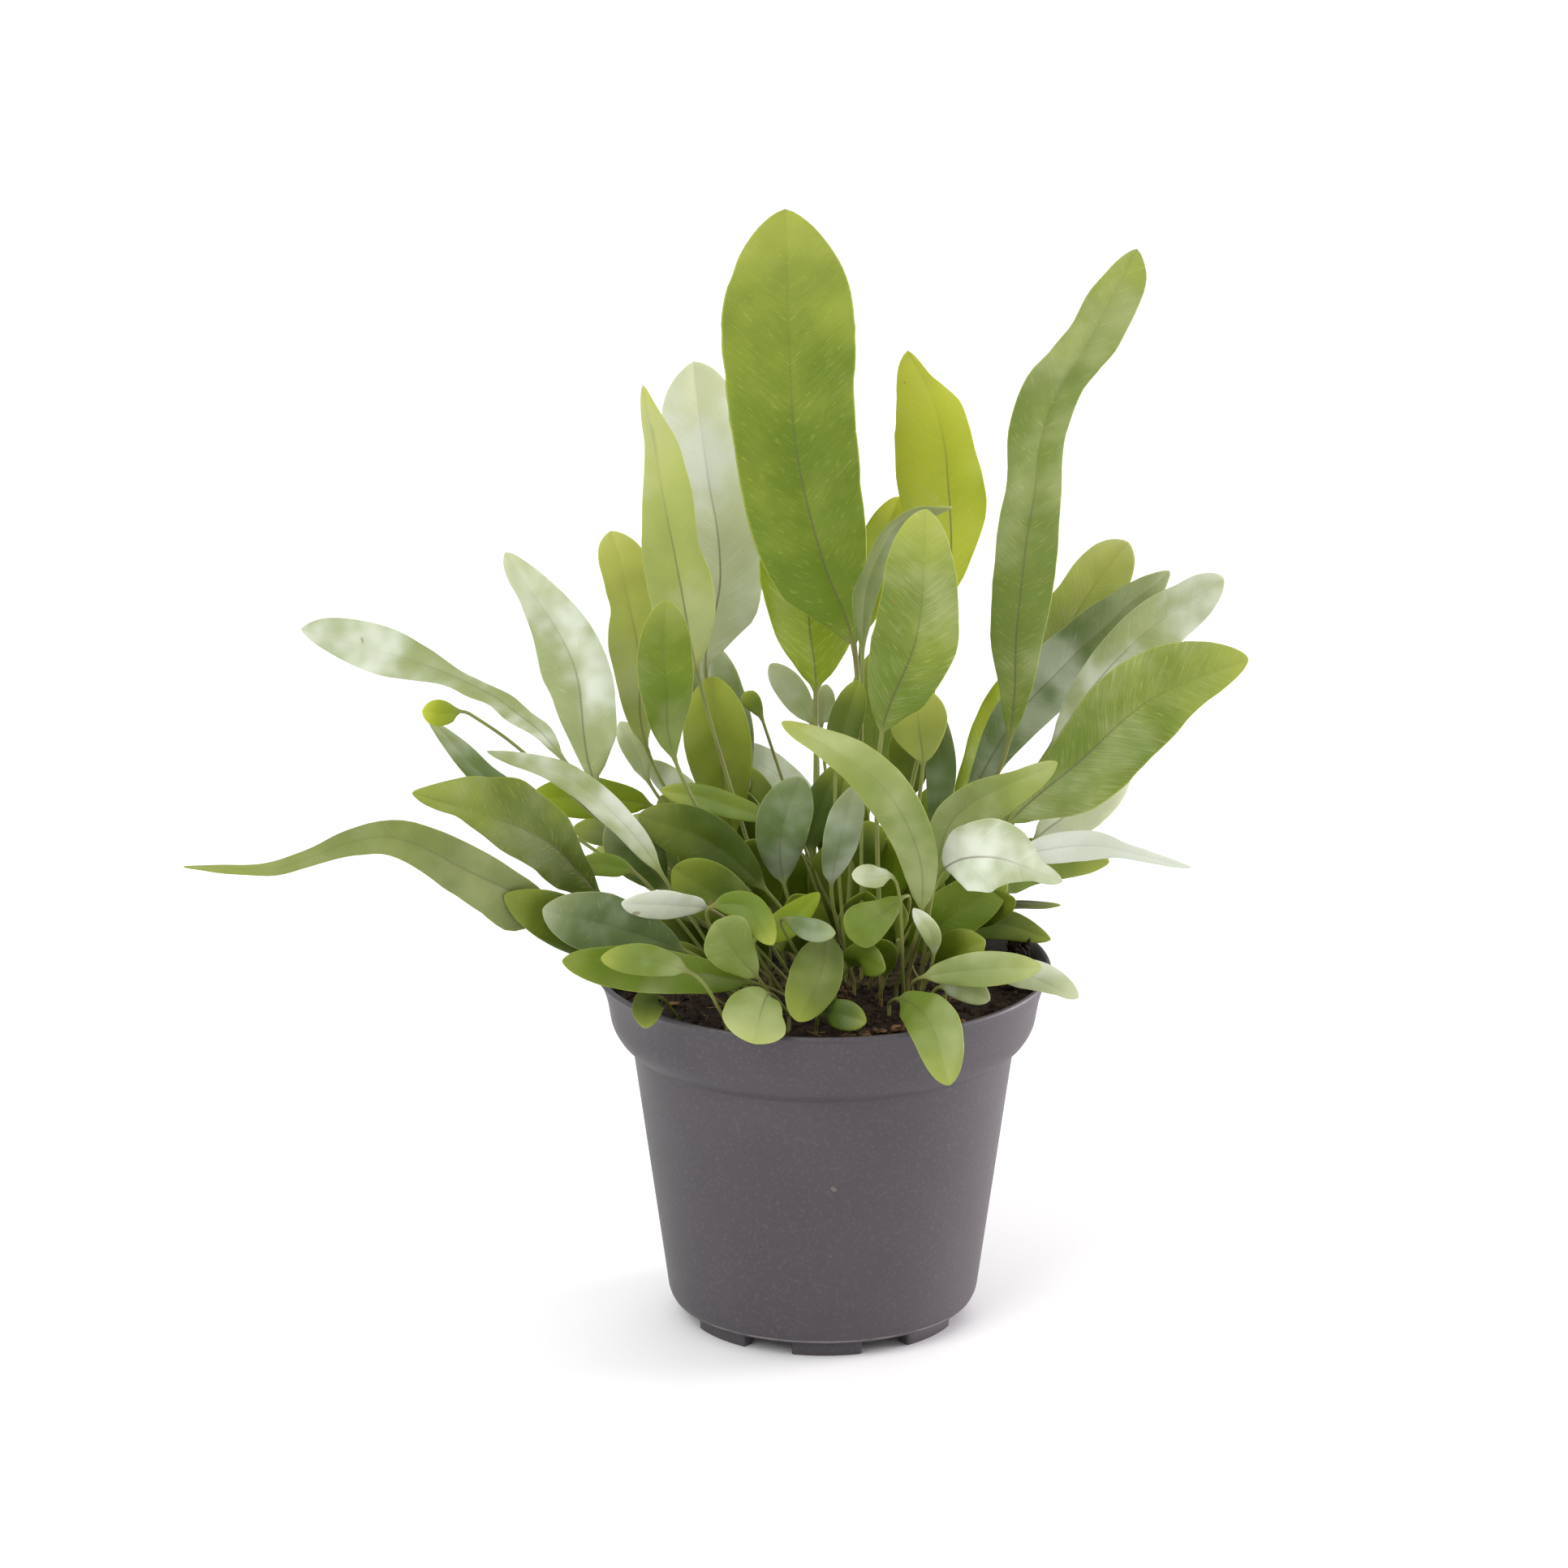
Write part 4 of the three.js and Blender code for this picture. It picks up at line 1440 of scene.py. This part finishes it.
        turn=40,
    ),
)


@dataclass(frozen=True)
class Tone:
    """How one frond differs from its finish: lighter or darker, dustier or fresher."""

    tint: float = 0.0
    age: float = 0.0


FROND_TONES = {
    "tall_centre": Tone(-0.1, -0.35),
    "behind_centre": Tone(-0.5, 0.0),
    "back_left_pale": Tone(1.0, 0.35),
    "left_upright": Tone(0.75, 0.5),
    "left_behind": Tone(0.9, 0.35),
    "left_spoon": Tone(-0.3, 0.0),
    "left_pale": Tone(-0.1, 0.15),
    "far_left": Tone(-1.0, 0.0),
    "left_bud": Tone(0.4, 0.0),
    "left_yellow_strap": Tone(-0.6, 0.0),
    "front_left_upper": Tone(0.2, 0.25),
    "centre_left_olive": Tone(-0.3, 0.0),
    "front_left_long": Tone(0.3, 0.55),
    "front_left_grey": Tone(-0.4, 0.3),
    "rim_left_broad": Tone(-0.6, 0.1),
    "rim_left_small": Tone(-0.2, 0.2),
    "curled_round": Tone(-0.9, 0.35),
    "pale_spoon": Tone(0.6, 0.9),
    "rim_bright": Tone(-0.15, 0.45),
    "front_centre_down": Tone(0.2, 0.0),
    "arching_front": Tone(0.0, 0.4),
    "dark_tall_left": Tone(0.9, 0.0),
    "centre_grey": Tone(-0.6, 0.1),
    "centre_round": Tone(-0.7, 0.0),
    "right_wavy": Tone(-0.3, 0.4),
    "white_spoon": Tone(-0.6, 0.35),
    "right_pale_low": Tone(1.0, 1.3),
    "big_right": Tone(-0.1, 0.2),
    "right_yellow": Tone(1.0, 0.5),
    "right_blue": Tone(-0.6, 0.05),
    "back_right_broad": Tone(0.7, 0.3),
    "right_tall": Tone(-0.4, 0.3),
    "back_pointed": Tone(0.95, 0.0),
    "back_yellow": Tone(0.1, 0.0),
    "front_spoon": Tone(-0.1, 0.2),
    "arched_edge": Tone(0.6, 0.0),
    "behind_spoon": Tone(0.9, 0.3),
    "right_grey_tall": Tone(-0.1, 0.2),
    "rim_right_light": Tone(-0.1, 0.6),
    "rim_right_pale": Tone(0.2, 0.4),
    "front_drop": Tone(-0.15, 0.3),
    "behind_pale": Tone(0.8, 0.6),
    "long_pale_strap": Tone(-1.0, 0.0),
    "grey_strap": Tone(0.0, 0.5),
}


@dataclass
class FernCrown:
    """All the fronds: those with a solid of their own and the small ones."""

    root_height: float
    finishes: dict[str, bpy.types.Material] = field(default_factory=dict)

    def build(self) -> None:
        """Builds every frond and dresses it."""
        for finish in FROND_FINISHES:
            self.finishes[finish.slot.value] = finish.material()
        for entry in frame["record"]["subparts"]:
            if entry["node"].startswith("frond_"):
                self.dress_node(entry["node"], entry["material_slot"])
        for small in SMALL_FRONDS:
            name = f"small_frond_{small.name}"
            line = small.stations(self.root_height)
            frond = Frond(name, line, columns=24, rows=40, tint=small.tint)
            add_piece(frond.build(), self.finishes[small.slot.value], small.slot)

    def dress_node(self, node: str, slot: str) -> None:
        """Replaces one frond's plain solid with its fine leaf.

        Args:
            node: the solid's name.
            slot: the record's slot for it.
        """
        name = node.replace("frond_", "leaf_")
        tone = FROND_TONES.get(node.removeprefix("frond_"), Tone())
        frond = Frond(name, FrondSkeleton(node).stations(), tint=tone.tint, age=tone.age)
        add_piece(frond.build(), self.finishes[slot], Slot(slot), node)


# ---- Pot -------------------------------------------------------------------


@dataclass
class NurseryPot:
    """The pot: a thin turned shell with a ring of feet and drain slots in its floor."""

    steps: int = 144
    wall: float = 1.2 * MM
    collar_radius: float = 56.8 * MM
    collar_depth: float = 18.3 * MM
    lip_depth: float = 7.5 * MM
    shoulder_depth: float = 20.9 * MM
    shoulder_radius: float = 50.2 * MM
    foot_radius: float = 40.4 * MM
    wall_foot: float = 4.6 * MM
    floor: tuple[float, float] = (4.0 * MM, 5.4 * MM)
    feet: tuple[float, float] = (32.0 * MM, 36.0 * MM)
    foot_count: int = 7
    foot_span: float = 30.0
    first_foot: float = -88.5
    centre_foot: float = 14.0 * MM
    slots: tuple[float, float] = (21.0 * MM, 26.0 * MM)
    slot_span: float = 24.0
    block_steps: int = 10
    sharp_angle: float = 50.0

    def __post_init__(self) -> None:
        """Takes the pot's height and lip from its solid."""
        low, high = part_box("nursery_pot")
        self.height = high.z
        self.lip_radius = (high.x - low.x) / 2.0

    def wall_radius(self, height: float) -> float:
        """Radius of the tapering wall at a height.

        Args:
            height: the height, in metres.

        Returns:
            The outer radius.
        """
        shoulder = self.height - self.shoulder_depth
        share = (height - self.wall_foot) / (shoulder - self.wall_foot)
        return self.foot_radius + (self.shoulder_radius - self.foot_radius) * share

    def profile(self) -> list[tuple[float, float, float]]:
        """Lays the corners of the pot's profile: radius, height and rounding of each.

        Returns:
            The corners, from the underside's middle to the floor's.
        """
        height, wall = self.height, self.wall
        shoulder, collar = height - self.shoulder_depth, height - self.collar_depth
        collar_foot = self.collar_radius - 3.0 * MM
        flare = height - self.lip_depth
        outside = [
            (0.0, self.floor[0], 0.0),
            (self.foot_radius - 3.9 * MM, self.floor[0], 0.8 * MM),
            (self.foot_radius - 1.3 * MM, self.wall_foot - 0.2 * MM, 1.1 * MM),
            (self.wall_radius(self.wall_foot + 2 * MM), self.wall_foot + 2.4 * MM, 1.6 * MM),
            (self.shoulder_radius, shoulder, 0.5 * MM),
            (collar_foot - 0.3 * MM, collar - 0.1 * MM, 1.0 * MM),
            (collar_foot + 1.8 * MM, collar + 3.2 * MM, 2.2 * MM),
            (self.collar_radius, flare, 3.0 * MM),
            (self.lip_radius - 1.2 * MM, height - 2.0 * MM, 0.8 * MM),
            (self.lip_radius, height - 0.9 * MM, 0.3 * MM),
            (self.lip_radius - 0.35 * MM, height, 0.3 * MM),
            (self.lip_radius - 1.4 * MM, height, 0.5 * MM),
        ]
        inside = [
            (self.collar_radius - wall, flare - 0.5 * MM, 3.0 * MM),
            (collar_foot - wall + 0.8 * MM, collar + 3.0 * MM, 1.5 * MM),
            (self.shoulder_radius - wall, shoulder + wall, 1.0 * MM),
            (self.wall_radius(self.floor[1] + 2 * MM) - wall, self.floor[1] + 2 * MM, 1.0 * MM),
            (self.foot_radius - 3.0 * MM, self.floor[1], 1.0 * MM),
            (0.0, self.floor[1], 0.0),
        ]
        return outside + inside

    def rounded(self, steps: int = 4) -> list[tuple[float, float]]:
        """The profile with its corners rounded.

        Args:
            steps: faces round each corner.

        Returns:
            Radius and height of each point.
        """
        corners = self.profile()
        line = [corners[0][:2]]
        for before, (radius, height, reach), after in zip(corners, corners[1:], corners[2:]):
            corner = Vector((radius, height))
            start = corner + (Vector(before[:2]) - corner).normalized() * reach
            end = corner + (Vector(after[:2]) - corner).normalized() * reach
            for step in range(steps + 1):
                share = step / steps
                point = start.lerp(corner, share).lerp(corner.lerp(end, share), share)
                line.append((point.x, point.y))
        return [*line, corners[-1][:2]]

    def shell(self) -> bpy.types.Mesh:
        """Turns the profile about the pot's axis.

        Returns:
            The shell.
        """
        shape = bmesh.new()
        verts = [shape.verts.new((radius, 0.0, height)) for radius, height in self.rounded()]
        edges = [shape.edges.new(pair) for pair in zip(verts, verts[1:])]
        bmesh.ops.spin(
            shape,
            geom=verts + edges,
            cent=(0.0, 0.0, 0.0),
            axis=(0.0, 0.0, 1.0),
            angle=2.0 * math.pi,
            steps=self.steps,
            use_merge=True,
        )
        bmesh.ops.remove_doubles(shape, verts=shape.verts, dist=0.01 * MM)
        bmesh.ops.recalc_face_normals(shape, faces=shape.faces)
        return mesh_from(shape, "grey_pot")

    def ring_blocks(
        self,
        radii: tuple[float, float],
        heights: tuple[float, float],
        first: float,
        span: float,
        edge: float,
    ) -> bmesh.types.BMesh:
        """A ring of curved blocks.

        Args:
            radii: inner and outer radius.
            heights: bottom and top.
            first: angle of the first block's middle, in degrees.
            span: angle that one block covers, in degrees.
            edge: rounding of the edges, or 0.

        Returns:
            The blocks as one mesh.
        """
        shape = bmesh.new()
        for index in range(self.foot_count):
            start = math.radians(first + 360.0 * index / self.foot_count - span / 2.0)
            turned = Matrix.Rotation(start, 4, "Z")
            corners = [
                (radii[0], 0.0, heights[0]),
                (radii[1], 0.0, heights[0]),
                (radii[1], 0.0, heights[1]),
                (radii[0], 0.0, heights[1]),
            ]
            verts = [shape.verts.new(turned @ Vector(corner)) for corner in corners]
            face = shape.faces.new(verts)
            bmesh.ops.spin(
                shape,
                geom=[face, *face.edges, *verts],
                cent=(0.0, 0.0, 0.0),
                axis=(0.0, 0.0, 1.0),
                angle=math.radians(span),
                steps=self.block_steps,
            )
        bmesh.ops.remove_doubles(shape, verts=shape.verts, dist=0.001 * MM)
        bmesh.ops.recalc_face_normals(shape, faces=shape.faces)
        if edge:
            sharp = [item for item in shape.edges if item.calc_face_angle(0.0) > 0.8]
            bmesh.ops.bevel(
                shape, geom=sharp, offset=edge, segments=2, affect="EDGES", profile=0.5, material=-1
            )
        return shape

    def build(self, finish: bpy.types.Material) -> None:
        """Makes the pot and dresses it.

        Args:
            finish: the pot's material.
        """
        pot = self.shell()
        top = self.floor[0] + 0.5 * MM
        feet = self.ring_blocks(self.feet, (0.0, top), self.first_foot, self.foot_span, 0.5 * MM)
        bmesh.ops.create_cone(
            feet,
            cap_ends=True,
            segments=64,
            radius1=self.centre_foot,
            radius2=self.centre_foot,
            depth=top,
            matrix=Matrix.Translation((0.0, 0.0, top / 2.0)),
        )
        pot = joined(pot, mesh_from(feet, "feet"), Join.ADD)
        between = self.first_foot + 180.0 / self.foot_count
        through = (self.floor[0] - MM, self.floor[1] + MM)
        holes = self.ring_blocks(self.slots, through, between, self.slot_span, 0.0)
        pot = joined(pot, mesh_from(holes, "drain_slots"), Join.CUT)
        pot.shade_smooth()
        pot.set_sharp_from_angle(angle=math.radians(self.sharp_angle))
        add_piece(pot, finish, Slot.POT, "nursery_pot")


# ---- Potting mix, rhizome and loose bits ------------------------------------


@dataclass
class PottingMix:
    """The lump of mix that fills the pot, rough on top, with loose bits on it."""

    pot: NurseryPot
    gap: float = 0.3 * MM
    crown: float = 2.0 * MM
    edge_height: float = 89.0 * MM
    columns: int = 180
    rings: int = 52
    crumbs: int = 1500
    chips: int = 46
    fibres: int = 150
    heap_turn: float = 13.0
    heap_spread: float = 8.0
    heap_height: float = 11.0 * MM
    chip_turn: float = -58.0
    chip_spread: float = 34.0

    def height(self, radius: float) -> float:
        """Height of the mix's smooth top at a radius."""
        return self.edge_height + self.crown * (1.0 - (radius / self.pot.collar_radius) ** 2)

    def top_point(self, x: float, y: float) -> Vector:
        """A point on the mix's rough top.

        Args:
            x: its place across.
            y: its place from front to back.

        Returns:
            The point.
        """
        radius = math.hypot(x, y)
        flat = Vector((x, y, 0.0))
        rough = 0.9 * MM * ripple(flat, 90.0, 4) + 0.9 * MM * ripple(flat, 28.0, 2)
        edge = smooth_step(self.pot.collar_radius - 2 * MM, self.pot.collar_radius - 9 * MM, radius)
        return Vector((x, y, self.height(radius) + rough * max(edge, 0.35)))

    def side(self) -> list[tuple[float, float]]:
        """Radius and height of the lump's side, from its underside's middle upwards.

        Returns:
            The corners.
        """
        pot = self.pot
        inset = pot.wall + self.gap
        floor = pot.floor[1] + self.gap
        shoulder = pot.height - pot.shoulder_depth
        return [
            (0.0, floor),
            (pot.foot_radius - 4 * MM, floor),
            (pot.wall_radius(floor + 2.7 * MM) - inset - 0.6 * MM, floor + 2.7 * MM),
            (pot.wall_radius(shoulder / 2) - inset, shoulder / 2),
            (pot.shoulder_radius - inset, shoulder + pot.wall),
            (pot.collar_radius - 3 * MM - inset, pot.height - pot.collar_depth + 3.4 * MM),
        ]

    def place(self, column: int, row: int) -> Vector:
        """Where the lump's skin lies at a column and row.

        Args:
            column: column round the lump.
            row: row up its side and over its top.

        Returns:
            The point.
        """
        side = self.side()
        turn = 2.0 * math.pi * (column % self.columns) / self.columns
        if row < len(side):
            radius, height = side[row]
            return Vector((radius * math.cos(turn), radius * math.sin(turn), height))
        share = (row - len(side)) / (self.rings - 1)
        radius = (self.pot.collar_radius - self.pot.wall - self.gap - 1.1 * MM) * (1.0 - share)
        return self.top_point(radius * math.cos(turn), radius * math.sin(turn))

    def build(self, peat: bpy.types.Material, bark: bpy.types.Material) -> None:
        """Makes the lump and the loose bits on it.

        Args:
            peat: the mix's material.
            bark: material of the chips and fibres.
        """
        rows = len(self.side()) + self.rings - 1
        lump = wrapped_skin(self.columns, rows, self.place)
        add_piece(mesh_from(lump, "peat_lump"), peat, Slot.MIX, "potting_mix")
        chance = random.Random(12)
        add_piece(mesh_from(self.loose_crumbs(chance), "peat_crumbs"), peat, Slot.MIX)
        add_piece(mesh_from(self.loose_chips(chance), "bark_chips"), bark, Slot.RHIZOME)
        add_piece(mesh_from(self.loose_fibres(chance), "dry_fibres"), bark, Slot.RHIZOME)

    def spot(self, chance: random.Random, reach: float = 53.0 * MM) -> Vector:
        """A random point on the mix.

        Args:
            chance: where the random numbers come from.
            reach: largest radius.

        Returns:
            The point.
        """
        radius = reach * math.sqrt(chance.random())
        turn = chance.uniform(0.0, 2.0 * math.pi)
        return self.top_point(radius * math.cos(turn), radius * math.sin(turn))

    @staticmethod
    def turned(chance: random.Random) -> Matrix:
        """A random turn.

        Args:
            chance: where the random numbers come from.

        Returns:
            The turn.
        """
        turns = [chance.uniform(0.0, 2.0 * math.pi) for _ in range(3)]
        return (
            Matrix.Rotation(turns[0], 4, "X")
            @ Matrix.Rotation(turns[1], 4, "Y")
            @ Matrix.Rotation(turns[2], 4, "Z")
        )

    def loose_crumbs(self, chance: random.Random) -> bmesh.types.BMesh:
        """Crumbs of peat all over, heaped against the lip at the right.

        Args:
            chance: where the random numbers come from.

        Returns:
            The crumbs as one shape.
        """
        shape = bmesh.new()
        for index in range(self.crumbs):
            size = chance.uniform(0.35, 1.0) ** 2 * 1.5 * MM
            spot = self.spot(chance)
            if index % 5 == 0:
                off = chance.gauss(0.0, self.heap_spread)
                turn = math.radians(self.heap_turn + off)
                radius = chance.uniform(47.0, 55.5) * MM
                spot = self.top_point(radius * math.cos(turn), radius * math.sin(turn))
                heap = math.exp(-((off / 12.0) ** 2)) * smooth_step(45 * MM, 54 * MM, radius)
                spot.z += chance.uniform(0.0, self.heap_height) * heap
            deep, high = chance.uniform(0.6, 1.0), chance.uniform(0.5, 0.9)
            stretch = Matrix.Diagonal((1.0, deep, high, 1.0))
            matrix = Matrix.Translation(spot) @ self.turned(chance) @ stretch
            made = bmesh.ops.create_icosphere(shape, subdivisions=1, radius=size, matrix=matrix)
            for vert in made["verts"]:
                vert.co += (vert.co - spot) * (0.9 * ripple(vert.co, 900.0, 1))
        return shape

    def loose_chips(self, chance: random.Random) -> bmesh.types.BMesh:
        """Flat chips of bark, half of them near the front right of the lip.

        Args:
            chance: where the random numbers come from.

        Returns:
            The chips as one shape.
        """
        shape = bmesh.new()
        for index in range(self.chips):
            spot = self.spot(chance, 50.0 * MM)
            if index % 2 == 0:
                turn = math.radians(chance.gauss(self.chip_turn, self.chip_spread))
                radius = chance.uniform(40.0, 52.0) * MM
                spot = self.top_point(radius * math.cos(turn), radius * math.sin(turn))
            spot.z += 0.8 * MM
            sizes = (chance.uniform(1.6, 3.6) * MM, chance.uniform(1.2, 2.4) * MM, 0.8 * MM)
            lean = Matrix.Rotation(chance.uniform(-0.5, 0.5), 4, "X")
            spin = Matrix.Rotation(chance.uniform(0.0, 6.28), 4, "Z")
            matrix = Matrix.Translation(spot) @ spin @ lean @ Matrix.Diagonal((*sizes, 1.0))
            made = bmesh.ops.create_icosphere(shape, subdivisions=2, radius=0.62, matrix=matrix)
            for vert in made["verts"]:
                off = vert.co - spot
                vert.co += off * (0.55 * ripple(vert.co, 520.0, 2))
                vert.co.z += 0.5 * MM * ripple(vert.co, 700.0, 1)
        return shape

    def loose_fibres(self, chance: random.Random) -> bmesh.types.BMesh:
        """Dry fibres and dead stalk ends, lying or leaning on the mix.

        Args:
            chance: where the random numbers come from.

        Returns:
            The fibres as one shape.
        """
        shape = bmesh.new()
        for index in range(self.fibres):
            spot = self.spot(chance, 49.0 * MM)
            standing = index % 5 == 0
            lean = chance.uniform(0.2, 0.7) if standing else chance.uniform(1.3, 1.6)
            length = (chance.uniform(4.0, 11.0) if standing else chance.uniform(3.0, 8.0)) * MM
            spin = Matrix.Rotation(chance.uniform(0.0, 6.28), 4, "Z")
            rise = Matrix.Translation((0.0, 0.0, length / 2.0 - 0.6 * MM))
            matrix = Matrix.Translation(spot) @ spin @ Matrix.Rotation(lean, 4, "Y") @ rise
            thick = chance.uniform(0.14, 0.4) * MM
            made = bmesh.ops.create_cone(
                shape,
                cap_ends=True,
                segments=6,
                radius1=thick,
                radius2=thick * 0.55,
                depth=length,
                matrix=matrix,
            )
            for vert in made["verts"]:
                vert.co += Vector((1.0, 1.0, 0.4)) * (0.5 * MM * ripple(vert.co, 160.0, 1))
        return shape


@dataclass
class Rhizome:
    """The creeping scaly stem that the fronds grow from."""

    voxel: float = 0.7 * MM
    scales: int = 620

    def build(self, finish: bpy.types.Material) -> None:
        """Makes the rhizome's knobbly body and its scales.

        Args:
            finish: the rhizome's material.
        """
        shape = bmesh.new()
        shape.from_mesh(frame["nodes"]["rhizome"].data)
        bmesh.ops.remove_doubles(shape, verts=shape.verts, dist=0.01 * MM)
        rough = {"mode": "VOXEL", "voxel_size": self.voxel}
        body = evaluated_mesh(mesh_from(shape, "rhizome_body"), "REMESH", rough)
        shape = bmesh.new()
        shape.from_mesh(body)
        for _ in range(4):
            bmesh.ops.smooth_vert(
                shape,
                verts=shape.verts,
                factor=0.5,
                use_axis_x=True,
                use_axis_y=True,
                use_axis_z=True,
            )
        shape.normal_update()
        moves = [(vert, vert.normal * self.knobs(vert.co)) for vert in shape.verts]
        for vert, move in moves:
            vert.co += move
        shape.normal_update()
        scales = self.scale_coat(shape)
        name = body.name
        bpy.data.meshes.remove(body)
        add_piece(mesh_from(shape, name), finish, Slot.RHIZOME, "rhizome")
        add_piece(mesh_from(scales, "rhizome_scales"), finish, Slot.RHIZOME)

    @staticmethod
    def knobs(place: Vector) -> float:
        """How far the skin swells at a place."""
        return 0.7 * MM * ripple(place, 190.0, 3) + 0.5 * MM * ripple(place, 60.0, 1)

    def scale_coat(self, body: bmesh.types.BMesh) -> bmesh.types.BMesh:
        """Small pointed scales all over the upper side.

        Args:
            body: the rhizome's body.

        Returns:
            The scales as one shape.
        """
        chance = random.Random(7)
        upper = [vert for vert in body.verts if vert.normal.z > -0.1]
        coat = bmesh.new()
        for vert in chance.sample(upper, min(self.scales, len(upper))):
            lean = vert.normal + Vector([chance.uniform(-0.9, 0.9) for _ in range(3)])
            turn = lean.to_track_quat("Z", "Y").to_matrix().to_4x4()
            length = chance.uniform(1.2, 2.8) * MM
            matrix = Matrix.Translation(vert.co) @ turn @ Matrix.Diagonal((1.0, 0.35, 1.0, 1.0))
            matrix = matrix @ Matrix.Translation((0.0, 0.0, length / 2.0 - 0.2 * MM))
            bmesh.ops.create_cone(
                coat,
                cap_ends=True,
                segments=5,
                radius1=0.42 * MM,
                radius2=0.03 * MM,
                depth=length,
                matrix=matrix,
            )
        return coat


# ---- Stage -----------------------------------------------------------------


@dataclass
class Stage:
    """The floor, the lights and the camera."""

    aim: Point = (-0.0103, 0.0, 0.1457)
    distance: float = 2.5
    pitch: float = 17.3
    lens: float = 220.0
    floor_size: float = 12.0
    ambient: float = 0.9

    def build(self) -> None:
        """Sets the stage."""
        self.lay_floor()
        self.light()
        self.set_camera()

    def lay_floor(self) -> None:
        """A plain pale floor."""
        shape = bmesh.new()
        bmesh.ops.create_grid(shape, x_segments=1, y_segments=1, size=self.floor_size / 2.0)
        floor = bpy.data.objects.new("floor", mesh_from(shape, "floor"))
        bpy.context.scene.collection.objects.link(floor)
        shader = Shader("floor_white")
        shader.set(Base_Color=(0.9, 0.9, 0.9), Roughness=0.9)
        floor.data.materials.append(shader.material)

    def light(self) -> None:
        """Soft light from all round, with panels at the front left, back and right."""
        world = bpy.data.worlds.new("studio")
        bpy.context.scene.world = world
        world.use_nodes = True
        world.node_tree.nodes["Background"].inputs[0].default_value = (1.0, 1.0, 1.0, 1.0)
        world.node_tree.nodes["Background"].inputs[1].default_value = self.ambient
        self.panel("key", (-0.9, -1.2, 1.3), 1.2, 20.0)
        self.panel("back", (0.3, 1.3, 1.1), 1.2, 6.0)
        self.panel("right", (1.5, 0.4, 0.3), 0.8, 30.0, (1.0, 0.9, 0.98))

    def panel(
        self, name: str, place: Point, size: float, power: float, colour: Colour = (1.0, 1.0, 1.0)
    ) -> None:
        """Hangs a square light panel aimed at the plant.

        Args:
            name: the panel's name.
            place: where its middle hangs, in metres.
            size: length of its sides, in metres.
            power: its power, in watts.
            colour: the light's colour.
        """
        lamp = bpy.data.lights.new(name, "AREA")
        lamp.size = size
        lamp.energy = power
        lamp.color = colour
        panel = bpy.data.objects.new(name, lamp)
        panel.location = place
        way = Vector(self.aim) - Vector(place)
        panel.rotation_euler = way.to_track_quat("-Z", "Y").to_euler()
        bpy.context.scene.collection.objects.link(panel)

    def set_camera(self) -> None:
        """A long lens looking down a little at the plant's front."""
        camera = bpy.data.cameras.new("camera")
        camera.lens = self.lens
        camera.clip_end = 50.0
        holder = bpy.data.objects.new("camera", camera)
        pitch = math.radians(self.pitch)
        back = Vector((0.0, -math.cos(pitch), math.sin(pitch)))
        holder.location = Vector(self.aim) + back * self.distance
        holder.rotation_euler = (math.pi / 2.0 - pitch, 0.0, 0.0)
        bpy.context.scene.collection.objects.link(holder)
        bpy.context.scene.camera = holder
        bpy.context.scene.view_settings.view_transform = "Standard"


# ---- Assembly --------------------------------------------------------------


def main() -> None:
    """Builds the plant and its stage in order."""
    logging.basicConfig(level=logging.INFO, format="%(name)s: %(message)s")
    pot = NurseryPot()
    pot.build(PotFinish().material())
    mix = PottingMix(pot)
    mix.build(MixFinish().material(), DRY_BARK.material())
    Rhizome().build(RHIZOME_TAN.material())
    FernCrown(mix.height(0.0)).build()
    Stage().build()


if __name__ == "__main__":
    main()
